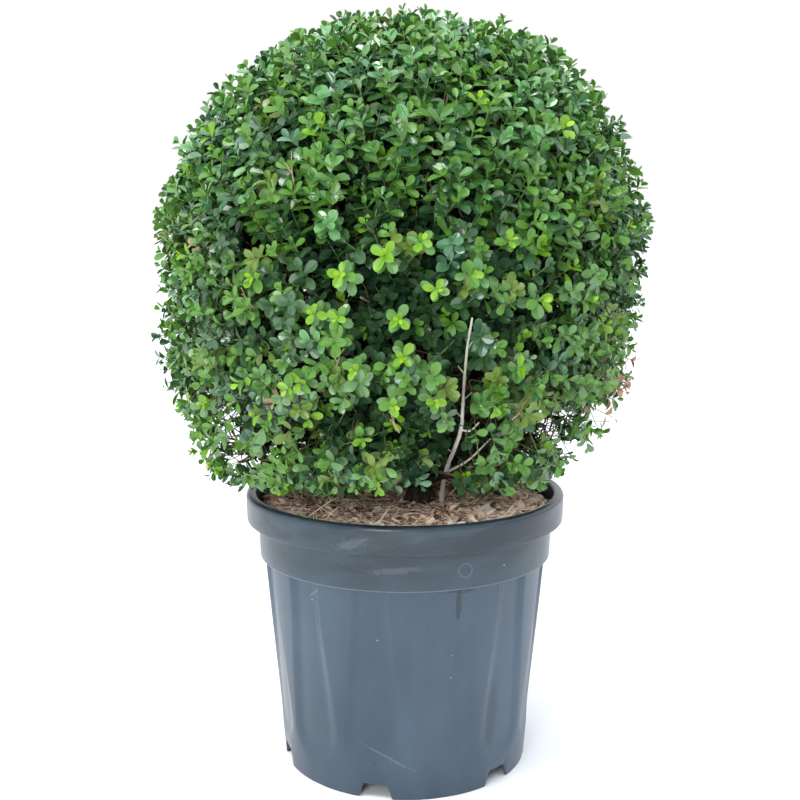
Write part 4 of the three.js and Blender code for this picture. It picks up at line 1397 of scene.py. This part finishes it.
def lying_chips(name, places, random, material, length, width, thick):
    """Thin splintered chips that lie on the soil: six-sided blocks with skewed ends."""
    count = len(places)
    along, across, face = turned_frames(count, random, 0.36)
    size = np.exp(random.normal(0, 0.35, count))[:, None]
    long, wide = length * size / 2, width * size / 2 * random.uniform(0.55, 1.3, (count, 1))
    high = thick * random.uniform(0.6, 1.4, (count, 1))
    corners = []
    for top in (0, 1):
        shrink = 1 - 0.12 * top
        for u, v in CHIP_CORNERS:
            skew = random.uniform(0.75, 1.15, (count, 1))
            bend = 0.18 * (u * u) * long * random.uniform(-0.5, 1, (count, 1))
            corner = places + along * long * u * skew * shrink + across * wide * v * shrink
            corners.append(corner + face * (high * top + bend))
    points = np.stack(corners, 1).reshape(-1, 3)
    faces = tube_faces(count, 2, len(CHIP_CORNERS))
    settle(mesh_piece(name, points, faces, material, smooth=False), "soil")


def build_litter():
    """Bark chips, crumbs, dry needles and fallen leaves on the soil."""
    look = settings("box_soil")
    random = np.random.default_rng(look.seed)
    colours = {
        "dark_chips": (look.dark, look.mix),
        "brown_chips": (look.brown, look.dark),
        "tan_chips": (look.tan, look.brown),
        "crumbs": (look.crumb, look.tan),
    }
    for name, share, near_rim, *size in CHIPS:
        places = scattered(round(look.chips * share), random, near_rim)
        material = grained_material(name, *colours[name], 420, 0.3, 0.85, 0.4)
        lying_chips(name, places, random, material, *size)
    build_needles(look, random)
    build_dry_leaves(look, random)


def build_needles(look, random):
    """Thin dry needles and straws, bent over one another."""
    places = scattered(look.needles, random, 0.3)
    count = len(places)
    along, across, _ = turned_frames(count, random, 0.2)
    length = (random.uniform(12, 40, count) * np.where(random.random(count) < 0.03, 2.2, 1.0))[:, None]
    middle = places + UP * random.uniform(1.5, 4.5, (count, 1))
    bow = across * random.normal(0, 0.12, (count, 1)) * length + UP * random.uniform(0, 2, (count, 1))
    steps = (-0.5, -0.2, 0.15, 0.5)
    lines = np.stack([middle + along * length * u + bow * (1 - 4 * u * u) for u in steps], 1)
    inside = np.hypot(lines[..., 0], lines[..., 1]).max(axis=1) < SOIL["inside"] - 2
    feet, tips = np.array(STRAWS, float).transpose(1, 0, 2)
    straws = np.stack([feet + (tips - feet) * t + UP * 5 * t * (1 - t) for t in (0, 0.3, 0.65, 1)], 1)
    lines = np.concatenate([lines[inside], straws])
    radii = NEEDLE_RADIUS * random.uniform(0.7, 1.5, (len(lines), 1))
    radii[-len(straws) :] = STRAW_RADIUS
    material = grained_material("dry_straw", look.straw, look.brown, 160, 0.45, 0.85, 0.1)
    tube_piece("dry_needles", lines, radii, 3, material, "soil")


def build_dry_leaves(look, random):
    """Fallen box leaves, curled and lying flat."""
    places = scattered(look.litter, random, 0.35) + UP * 2.4
    count = len(places)
    along, _, face = turned_frames(count, random, 0.3)
    length = random.uniform(9, 17, count)
    cup = random.uniform(0.1, 0.7, count)
    curl = random.uniform(-0.3, 0.5, count)
    points, faces = leaf_blades(places, along, face, length, length * 0.6, cup, curl, INNER_OUTLINE)
    shrink = np.minimum(1, (SOIL["inside"] - 1) / np.hypot(points[:, 0], points[:, 1]))
    points[:, :2] *= shrink[:, None]
    material = grained_material("dry_leaf", look.leaf, look.brown, 200, 0.4, 0.8, 0.1)
    settle(mesh_piece("fallen_leaves", points, faces, material), "soil")


# Trunk, boughs and the dead stem


def build_limb(name, material, slot, sides, steps, relief, slim=1.0, flare=0.0, cut=None):
    """A limb with relief in its bark, which replaces its solid."""
    line, foot_radius, tip_radius = limb_lines()[name]
    foot_radius, tip_radius = foot_radius * slim, tip_radius * slim
    # The tip comes once only, because a curve can't run through two places that are the same.
    line = curve_through([*line[: -1 : max(1, len(line) // 12)], line[-1]], steps)
    share = np.linspace(0, 1, steps)[:, None]
    angle = np.arange(sides) * 2 * math.pi / sides
    length = np.linalg.norm(np.diff(line, axis=0), axis=1).sum()
    buttress = 1 + TRUNK_FLARE["buttress"] * np.cos(3 * angle)
    widened = 1 + flare * np.exp(-share * length / TRUNK_FLARE["height"]) * buttress
    radius = (foot_radius + (tip_radius - foot_radius) * share) * widened
    # Cracks run along the limb: the noise is squeezed round it and stretched along it.
    wide, long = CRACKS
    place = np.stack(
        [
            np.cos(angle) * foot_radius / wide + 0 * share,
            np.sin(angle) * foot_radius / wide + 0 * share,
            share * length / long + 0 * angle,
        ],
        -1,
    ).reshape(-1, 3)
    cracks = 1 - np.abs(noise(place, 21) - 0.5) * 2
    knots = noise(place * (0.5, 0.5, 1.6), 22) - 0.5
    radius = radius + relief * (knots - 0.9 * cracks**3 + 0.25).reshape(radius.shape)
    points = line[:, None] + rings_round(line, LIMB_ASIDE, sides) * radius[..., None]
    if cut is not None:
        points[..., 2] = np.maximum(points[..., 2], cut)
    piece = mesh_piece(f"bark_{name}", points.reshape(-1, 3), tube_faces(1, steps, sides), material)
    settle(piece, slot, name)


def build_trunk_and_boughs():
    """The trunk with its root flare, and every bough."""
    look = settings("box_limbs")
    bark = grained_material("bark", look.bark, look.crack, 240, 0.46, 0.9, 0.8, stretch=(1, 1, 0.35))
    relief = look.relief / MM
    for name in limb_lines():
        if name == "trunk":
            build_limb(name, bark, "bark", 64, 90, relief, flare=TRUNK_FLARE["share"], cut=GROUND)
        elif not name.startswith("pale"):
            build_limb(name, bark, "bark", 20, 44, relief * 0.5)


def build_dead_stem():
    """The bleached stem in front, with its two side twigs and a few broken stubs."""
    look = settings("box_limbs")
    wood = grained_material("dead_wood", look.pale, look.stain, 90, 0.22, 0.8, 0.35, stretch=(1, 1, 0.25))
    # Painted shade on the dead stem's upper part, where it runs in among the leaves
    paint_shade_above(wood, look.shaded_wood, *WOOD_SHADE_HEIGHTS)
    build_limb("pale_stem", wood, "dead_wood", 24, 150, 0.4, slim=STEM_SLIM, cut=GROUND)
    for name, *_ in PALE_TWIGS:
        build_limb(name, wood, "dead_wood", 14, 30, 0.2, slim=STEM_SLIM)
    stem = limb_lines()["pale_stem"][0]
    feet = stem[[place for place, _ in STUBS]]
    steps = np.array([step for _, step in STUBS], float)
    lines = np.stack([feet + steps * t for t in (0.0, 0.35, 0.7, 1.0)], 1)
    tube_piece("pale_stubs", lines, np.linspace(*STUB_RADII, 4), 6, wood, "dead_wood")


# Branches, twigs and shoots


def build_branches():
    """The woody branches inside the crown, which grow on from the boughs, and the twigs to every shoot."""
    look = settings("box_crown")
    _, branches, twigs = grow_crown()
    bark = grained_material("twig_bark", look.twig, look.crack, 300, 0.38, 0.8, 0.3)
    thick = [b for b in branches if b[1] > THIN_BRANCH]
    thin = [b for b in branches if b[1] <= THIN_BRANCH and not hides_stem(b[0][1:], leaves=False).any()]
    points, walls, caps, start = [], [], [], 0
    for sides, chosen in ((5, thick), (4, thin)):
        ends = []
        for line, *radii in chosen:
            made, (wall, cap) = tubes(line[None], np.linspace(*radii, len(line)), sides)
            points.append(made)
            walls.append(wall + start)
            ends.append(cap + start)
            start += len(made)
        caps.append(np.vstack(ends))
    faces = [np.vstack(walls), *reversed(caps)]
    settle(mesh_piece("branches", np.vstack(points), faces, bark), "foliage")
    leafy = grow_leaves()[1]
    tube_piece("twigs", twigs[leafy], np.linspace(*TWIG_RADII, 4), 3, bark, "foliage")


def build_shoot_stems():
    """The green stems that carry the leaves."""
    leafy = grow_leaves()[1]
    shoots = {key: part[leafy] for key, part in grow_crown()[0].items()}
    lines = np.stack([place_on_shoot(shoots, shoots["length"] * back) for back in (1.0, 0.5, 0.03)], 1)
    green = plain_material("green_shoot", settings("box_crown").shoot, 0.5, 0.4)
    tube_piece("shoot_stems", lines, SHOOT_RADII, 3, green, "foliage")


def build_bare_twigs():
    """Thin bare twigs that stand out of the leaves, each with one fork."""
    look = settings("box_crown")
    dry = grained_material("dry_twig", look.bare, look.twig, 160, 0.4, 0.85, 0.1)
    lines = []
    for azimuth, elevation, length, tilt in BARE_TWIGS:
        way = heading(azimuth, elevation)
        foot = CROWN_MIDDLE + way * (reach(way[None])[0] - 14)
        side = np.cross(UP, way)
        step = unit(UP + side * tilt + way * 0.25) * length
        fork = foot + step * 0.35 + way * 2.5
        lines.append([foot, fork, foot + step * 0.68 - side * 1.6, foot + step])
        aside = unit(UP - side * 0.8 + way * 0.3) * length * 0.4
        lines.append([fork, fork + aside * 0.3, fork + aside * 0.65 + UP, fork + aside])
    tube_piece("bare_twigs", lines, np.linspace(*BARE_RADII, 4), 5, dry, "foliage")


# Leaves


def leaf_blades(roots, along, face, length, width, cup, curl, outline):
    """Leaf blades in their own outline. Each has two halves that meet in a fold along the midrib.

    cup lifts the edges, and curl bends the blade back towards its tip. Returns points and faces.
    """
    across = np.cross(along, face)
    rows = np.array([0, *outline[0], BLUNT])
    halves = np.array([0, *outline[1], 0])
    length, width, cup, curl = (np.asarray(value)[:, None] for value in (length, width, cup, curl))
    forward = length * rows * (1 - 0.12 * np.abs(curl) * rows)
    down = -curl * length * rows**2 * 0.5
    middle = roots[:, None] + along[:, None] * forward[..., None] + face[:, None] * down[..., None]
    out = (width * halves)[..., None] * across[:, None]
    raised = (width * halves * cup)[..., None] * face[:, None]
    lean = (length * -0.02 * halves)[..., None] * along[:, None]
    count = len(rows) - 2
    sides = []
    for side in (1, -1):
        edge = middle + side * out + raised + lean
        sides += [middle[:, 0], *np.moveaxis(middle[:, 1:], 1, 0), *np.moveaxis(edge[:, 1:-1], 1, 0)]
    points = np.stack(sides, 1)
    per_half = 2 + 2 * count
    quads, triangles = [], []
    for base in (0, per_half):
        mid = [base + 1 + i for i in range(count)]
        edge = [base + 2 + count + i for i in range(count)]
        cells = [[mid[i], mid[i + 1], edge[i + 1], edge[i]] for i in range(count - 1)]
        ends = [[base, mid[0], edge[0]], [mid[-1], base + 1 + count, edge[-1]]]
        # The second half is a mirror of the first, so its faces run the other way round.
        quads += [cell[::-1] if base else cell for cell in cells]
        triangles += [end[::-1] if base else end for end in ends]
    start = (np.arange(len(roots)) * 2 * per_half)[:, None, None]
    return points.reshape(-1, 3), [
        (np.array(quads) + start).reshape(-1, 4),
        (np.array(triangles) + start).reshape(-1, 3),
    ]


def deal_kinds(shoots, random):
    """Which colour each shoot's grown leaves take, and which its young pairs take."""
    count = len(shoots["tip"])
    elevation = np.degrees(np.arcsin(np.clip(shoots["way"][:, 2], -1, 1)))
    high = smooth_step(elevation, 8, 42)[:, None]
    low = smooth_step(-elevation, 6, 30)[:, None]
    top_share, middle_share, low_share = np.array(list(DEAL.values())).T
    shares = (1 - high - low) * middle_share + high * top_share + low * low_share
    # Neighbours tend to be alike, so the pick follows a slow noise over the crown.
    patch = np.argsort(np.argsort(noise(shoots["tip"] / 55, 31))) / count
    rank = (patch + 0.9 * random.random(count)) % 1
    pick = (np.cumsum(shares, axis=1) < rank[:, None]).sum(axis=1).clip(0, len(DEAL) - 1)
    grown = np.array([KIND[name] for name in DEAL])[pick]
    # The shaded colours are for what lies inside the crown, under it or in its hollows.
    chance = random.random(count)
    middle, inner, under = (shoots["layer"] == layer for layer in (MIDDLE, INNER, UNDER))
    sunk = hollowed(shoots["way"]) > SUNK_FROM
    grown = np.where(inner, KIND["shade"], grown)
    grown = np.where(middle & (chance < SHADED["middle"]), KIND["inner"], grown)
    grown = np.where(under & (chance < SHADED["under"]), KIND["inner"], grown)
    shaded = np.where(chance > SHADED["sunk_inner"], KIND["shade"], KIND["inner"])
    grown = np.where(sunk & ~inner & (chance > SHADED["sunk_bright"]), shaded, grown)
    young = random.random(count)
    lively = 0.05 + 0.07 * low[:, 0] - 0.01 * high[:, 0]
    tips = np.where(young < lively, KIND["lime"], np.where(young < FRESH_BELOW, KIND["fresh"], grown))
    tips = np.where(inner, KIND["shade"], tips)
    tips = np.where((middle | under | sunk) & (young > 0.2), grown, tips)
    tips = np.where(shoots["bright"], KIND["bud"], tips)
    grown = np.where(shoots["bright"], KIND["fresh"], grown)
    near = [shoots["way"] @ heading(*spot) > math.cos(math.radians(wide)) for *spot, wide in DEAD_SPRAYS]
    dead = np.any(near, axis=0) & (random.random(count) < DEAD_SHARE)
    return np.where(dead, KIND["dead"], grown), np.where(dead, KIND["dead"], tips)


def clear_of_limbs(places, spare):
    """True for places that touch no limb."""
    free = np.ones(len(places), bool)
    for line, foot, tip in limb_lines().values():
        radii = np.linspace(foot, tip, len(line))
        for i in range(0, len(places), BATCH):
            far = np.linalg.norm(places[i : i + BATCH, None] - line[None], axis=2) - radii
            free[i : i + BATCH] &= far.min(axis=1) > spare
    return free


def hides_stem(places, leaves=True):
    """True for places that hide the dead stem in front, or fill the dark hollow beside it."""
    view = np.array(settings("box_stage").place) / MM
    hiding = np.zeros(len(places), bool)
    flat = (places[:, ::2] - view[::2]) / (places[:, 1:2] - view[1])
    for name, leaf_wide, shoot_wide in STEM_VIEWS:
        wide = leaf_wide if leaves else shoot_wide
        line = limb_lines()[name][0]
        deep = line[:, 1] - view[1]
        seen = (line[:, ::2] - view[::2]) / deep[:, None]
        for i in range(0, len(places), BATCH):
            part = slice(i, i + BATCH)
            off = np.linalg.norm(flat[part, None] - seen[None], axis=2) * deep
            nearest = off.argmin(axis=1)
            close = off.min(axis=1) < wide
            hiding[part] |= close & (places[part, 1] < line[nearest, 1] + 6)
    hollow = TRUNK_HOLLOW
    in_hollow = (places[:, 0] > hollow["left"]) & (places[:, 0] < hollow["right"])
    in_hollow &= (places[:, 2] < hollow["top"]) & (places[:, 1] < hollow["behind"])
    return hiding | in_hollow


@functools.lru_cache(maxsize=1)
def grow_leaves():
    """Every leaf of the crown, and which shoots carry some.

    A leaf is its root, its way along, its face, length, width, cup, curl and kind.
    """
    look = settings("box_crown")
    shoots, _, _ = grow_crown()
    random = np.random.default_rng(look.seed + 1)
    grown, tips = deal_kinds(shoots, random)
    first, second = spread_round(shoots["growing"])
    leaves = []
    count = len(shoots["tip"])
    gap = look.pair_gap / MM * random.uniform(0.85, 1.15, count)
    high_up = smooth_step(shoots["way"][:, 2], -0.05, 0.6)
    full_size = look.lower_size + (1 - look.lower_size) * high_up
    vigour = full_size * random.uniform(0.86, 1.14, count)
    bright = shoots["bright"]
    for pair, (size, spread) in enumerate(zip(PAIR_SIZES, PAIR_SPREADS)):
        young = pair < YOUNG_PAIRS
        back = 0.8 + gap * full_size * (pair * 0.72 + 0.06 * pair**2) * np.where(bright, 0.7, 1.0)
        place = place_on_shoot(shoots, np.minimum(back, shoots["length"]))
        along = unit(shoots["growing"] + shoots["bow"] * (back / shoots["length"])[:, None])
        for opposite in (0, math.pi):
            turn = shoots["turn"] + pair * math.pi / 2 + opposite + random.normal(0, LEAVES["turn"], count)
            out = first * np.cos(turn)[:, None] + second * np.sin(turn)[:, None]
            out = unit(out - along * np.sum(out * along, axis=1, keepdims=True))
            opened = spread * np.where(bright, 1.1, 1.0) + random.normal(0, LEAVES["open"], count)
            opened = np.radians(opened)[:, None]
            leaf_along = along * np.cos(opened) + out * np.sin(opened)
            leaf_along = unit(leaf_along + UP * random.normal(-0.05, 0.1, count)[:, None] * min(pair, 3) / 3)
            face = along * np.sin(opened) - out * np.cos(opened)
            face = face + (0.12 * shoots["way"] + 0.34 * UP) * random.uniform(0.1, 1.2, count)[:, None]
            face = unit(face - leaf_along * np.sum(face * leaf_along, axis=1, keepdims=True))
            twist = random.normal(0, LEAVES["twist"], count)[:, None]
            face = unit(face + np.cross(leaf_along, face) * twist)
            length = look.leaf_length / MM * size * vigour * random.uniform(*LEAVES["length"], count)
            length = np.where(shoots["layer"] == INNER, LEAVES["inner_length"] * length, length)
            width = length * look.leaf_width / look.leaf_length * random.uniform(*LEAVES["width"], count)
            cup = random.normal(LEAVES["cup"][young], LEAVES["cup_spread"], count)
            curl = random.normal(LEAVES["curl"][young], LEAVES["curl_spread"], count)
            kept = (shoots["pairs"] > pair) & (random.random(count) > LEAVES["missing"])
            # Dead leaves have shrunk and curled.
            dry = tips == KIND["dead"]
            width = np.where(dry, LEAVES["dead_width"] * width, width)
            curl = np.where(dry, curl + LEAVES["dead_curl"], curl)
            kind = tips if young else grown
            if pair == YOUNG_PAIRS:
                kind = np.where(random.random(count) < 0.4, tips, grown)
            if 0 < pair <= YOUNG_PAIRS:
                kind = np.where(kind == KIND["bud"], KIND["lime"], kind)
            if pair > YOUNG_PAIRS:
                kind = np.where(bright, KIND["green"], kind)
            values = (place, leaf_along, face, length, width, cup, curl, kind, np.arange(count))
            leaves.append([value[kept] for value in values])
    leaves = [np.concatenate(part) for part in zip(*leaves)]
    place, along, _, length = leaves[:4]
    tip = place + along * length[:, None]
    middle = place + along * length[:, None] / 2
    free = (stands_out(tip) < CROWN["tips_out"]) & (tip[:, 2] > foot_height(tip))
    free &= clear_of_limbs(middle, 3.0) & ~hides_stem(middle) & ~in_opening(middle, random)
    *leaves, shoot = [part[free] for part in leaves]
    leafy = np.bincount(shoot, minlength=count) > 2
    return [part[leafy[shoot]] for part in leaves], leafy


def build_leaves():
    """One piece for each colour of leaf. Together they stand for the clipped ball and the sprays under it."""
    look = settings("box_crown")
    *shape, kind = grow_leaves()[0]
    masses = ["clipped_ball"] + [f"skirt_{i + 1}" for i in range(LOW_BOUGHS["count"])]
    for name, finish in LEAF_FINISH.items():
        chosen = kind == KIND[name]
        if not chosen.any():
            raise RuntimeError(f"no leaves of the kind {name}")
        material = plain_material(f"leaf_{name}", getattr(look, name), *finish)
        outline = INNER_OUTLINE if name in SIMPLE_KINDS else LEAF_OUTLINE
        points, faces = leaf_blades(*(part[chosen] for part in shape), outline)
        piece = mesh_piece(f"leaves_{name}", points, faces, material)
        settle(piece, "foliage", *(masses if name == "green" else []))
        print(f"leaves_{name}: {chosen.sum()} leaves, {sum(map(len, faces)) + len(faces[0])} triangles")


# Floor, light and camera


def add_lamp(name, place, size, power):
    """A round soft lamp aimed at the plant's middle."""
    lamp = bpy.data.lights.new(name, "AREA")
    lamp.shape = "DISK"
    lamp.size = size
    lamp.energy = power
    light = bpy.data.objects.new(name, lamp)
    light.location = place
    x, y, z = np.array(place) - LAMP_AIM
    light.rotation_euler = (math.atan2(math.hypot(x, y), z), 0, math.atan2(y, x) + math.pi / 2)
    bpy.context.scene.collection.objects.link(light)


def light_room(look):
    """Soft daylight from all round. The camera itself sees plain white."""
    world = bpy.data.worlds.new("soft_daylight")
    bpy.context.scene.world = world
    world.use_nodes = True
    tree = world.node_tree
    _, parts = parts_of(tree, "Generated")
    sky = mixed(tree, ranged(tree, parts["Z"], 0.0, 0.8), *SKY)
    # The room is darker on the camera's side, so that the pot's sides catch the light.
    shaded = mixed(tree, ranged(tree, parts["Y"], -0.85, -0.05), *ROOM)
    lit = mixed(tree, 1.0, sky, shaded, kind="MULTIPLY")
    seen = put(tree, "ShaderNodeLightPath", {})["Is Camera Ray"]
    background = tree.nodes["Background"]
    tree.links.new(mixed(tree, seen, lit, (1, 1, 1, 1)), background.inputs["Color"])
    background.inputs["Strength"].default_value = look.sky


def place_camera(look):
    """The camera that looks down a little on the plant."""
    lens = bpy.data.cameras.new("camera")
    lens.lens = look.focal
    lens.sensor_width = 36
    lens.clip_start = 0.05
    lens.clip_end = 200
    camera = bpy.data.objects.new("camera", lens)
    camera.location = look.place
    camera.rotation_euler = (math.pi / 2 - look.tilt, 0, 0)
    bpy.context.scene.collection.objects.link(camera)
    bpy.context.scene.camera = camera


def build_stage():
    """The floor, the light and the camera."""
    look = settings("box_stage")
    half = FLOOR_HALF / MM
    corners = np.array([(-half, -half, 0), (half, -half, 0), (half, half, 0), (-half, half, 0)])
    material = plain_material("pale_floor", look.floor, 0.9, 0.1)
    mesh_piece("floor", corners, [np.array([[0, 1, 2, 3]])], material, smooth=False)
    light_room(look)
    for name, power, place, width in LAMPS:
        add_lamp(name, place, width, getattr(look, power))
    place_camera(look)
    bpy.context.scene.view_settings.view_transform = "Standard"


# Operators and panel


class BOXBALL_OT_stage(bpy.types.Operator):
    """Add the floor, the light and the camera"""

    bl_idname = "boxball.stage"
    bl_label = "Stage"

    def execute(self, context):
        build_stage()
        return {"FINISHED"}


class BOXBALL_OT_pot(bpy.types.Operator):
    """Build the fluted nursery pot"""

    bl_idname = "boxball.pot"
    bl_label = "Pot"

    def execute(self, context):
        build_pot()
        return {"FINISHED"}


class BOXBALL_OT_soil(bpy.types.Operator):
    """Fill the pot with potting mix"""

    bl_idname = "boxball.soil"
    bl_label = "Soil"

    def execute(self, context):
        build_soil()
        return {"FINISHED"}


class BOXBALL_OT_litter(bpy.types.Operator):
    """Strew bark chips, needles and dry leaves over the soil"""

    bl_idname = "boxball.litter"
    bl_label = "Litter"

    def execute(self, context):
        build_litter()
        return {"FINISHED"}


class BOXBALL_OT_boughs(bpy.types.Operator):
    """Build the trunk and the boughs with their bark"""

    bl_idname = "boxball.boughs"
    bl_label = "Trunk and boughs"

    def execute(self, context):
        build_trunk_and_boughs()
        return {"FINISHED"}


class BOXBALL_OT_dead_stem(bpy.types.Operator):
    """Build the bleached stem in front and its side twigs"""

    bl_idname = "boxball.dead_stem"
    bl_label = "Dead stem"

    def execute(self, context):
        build_dead_stem()
        return {"FINISHED"}


class BOXBALL_OT_branches(bpy.types.Operator):
    """Grow the branches and twigs on from the boughs"""

    bl_idname = "boxball.branches"
    bl_label = "Branches"

    def execute(self, context):
        build_branches()
        return {"FINISHED"}


class BOXBALL_OT_shoots(bpy.types.Operator):
    """Grow the green shoots and the bare twigs"""

    bl_idname = "boxball.shoots"
    bl_label = "Shoots"

    def execute(self, context):
        build_shoot_stems()
        build_bare_twigs()
        return {"FINISHED"}


class BOXBALL_OT_leaves(bpy.types.Operator):
    """Grow the leaves, one piece for each colour"""

    bl_idname = "boxball.leaves"
    bl_label = "Leaves"

    def execute(self, context):
        build_leaves()
        return {"FINISHED"}


OPERATORS = (
    BOXBALL_OT_stage,
    BOXBALL_OT_pot,
    BOXBALL_OT_soil,
    BOXBALL_OT_litter,
    BOXBALL_OT_boughs,
    BOXBALL_OT_dead_stem,
    BOXBALL_OT_branches,
    BOXBALL_OT_shoots,
    BOXBALL_OT_leaves,
)


class BOXBALL_PT_sidebar(bpy.types.Panel):
    """Lists the settings and the operators."""

    bl_label = "Box Ball"
    bl_idname = "BOXBALL_PT_sidebar"
    bl_space_type = "VIEW_3D"
    bl_region_type = "UI"
    bl_category = "Box Ball"

    def draw(self, context):
        for name, group_class in SETTINGS.items():
            box = self.layout.box()
            box.label(text=group_class.__doc__)
            for key in group_class.__annotations__:
                box.prop(getattr(context.scene, name), key)
        for made in OPERATORS:
            self.layout.operator(made.bl_idname)


def register():
    """Registers the settings, the operators and the panel."""
    for group_class in SETTINGS.values():
        bpy.utils.register_class(group_class)
    for name, group_class in SETTINGS.items():
        setattr(bpy.types.Scene, name, bpy.props.PointerProperty(type=group_class))
    for made in (*OPERATORS, BOXBALL_PT_sidebar):
        bpy.utils.register_class(made)


def unregister():
    """Takes back what register() did, last things first."""
    for made in reversed((*OPERATORS, BOXBALL_PT_sidebar)):
        bpy.utils.unregister_class(made)
    for name, group_class in reversed(SETTINGS.items()):
        delattr(bpy.types.Scene, name)
        bpy.utils.unregister_class(group_class)


def main():
    """Builds the whole plant."""
    register()
    bpy.ops.boxball.stage()
    bpy.ops.boxball.pot()
    bpy.ops.boxball.soil()
    bpy.ops.boxball.litter()
    bpy.ops.boxball.boughs()
    bpy.ops.boxball.dead_stem()
    bpy.ops.boxball.branches()
    bpy.ops.boxball.shoots()
    bpy.ops.boxball.leaves()


if __name__ == "__main__":
    main()
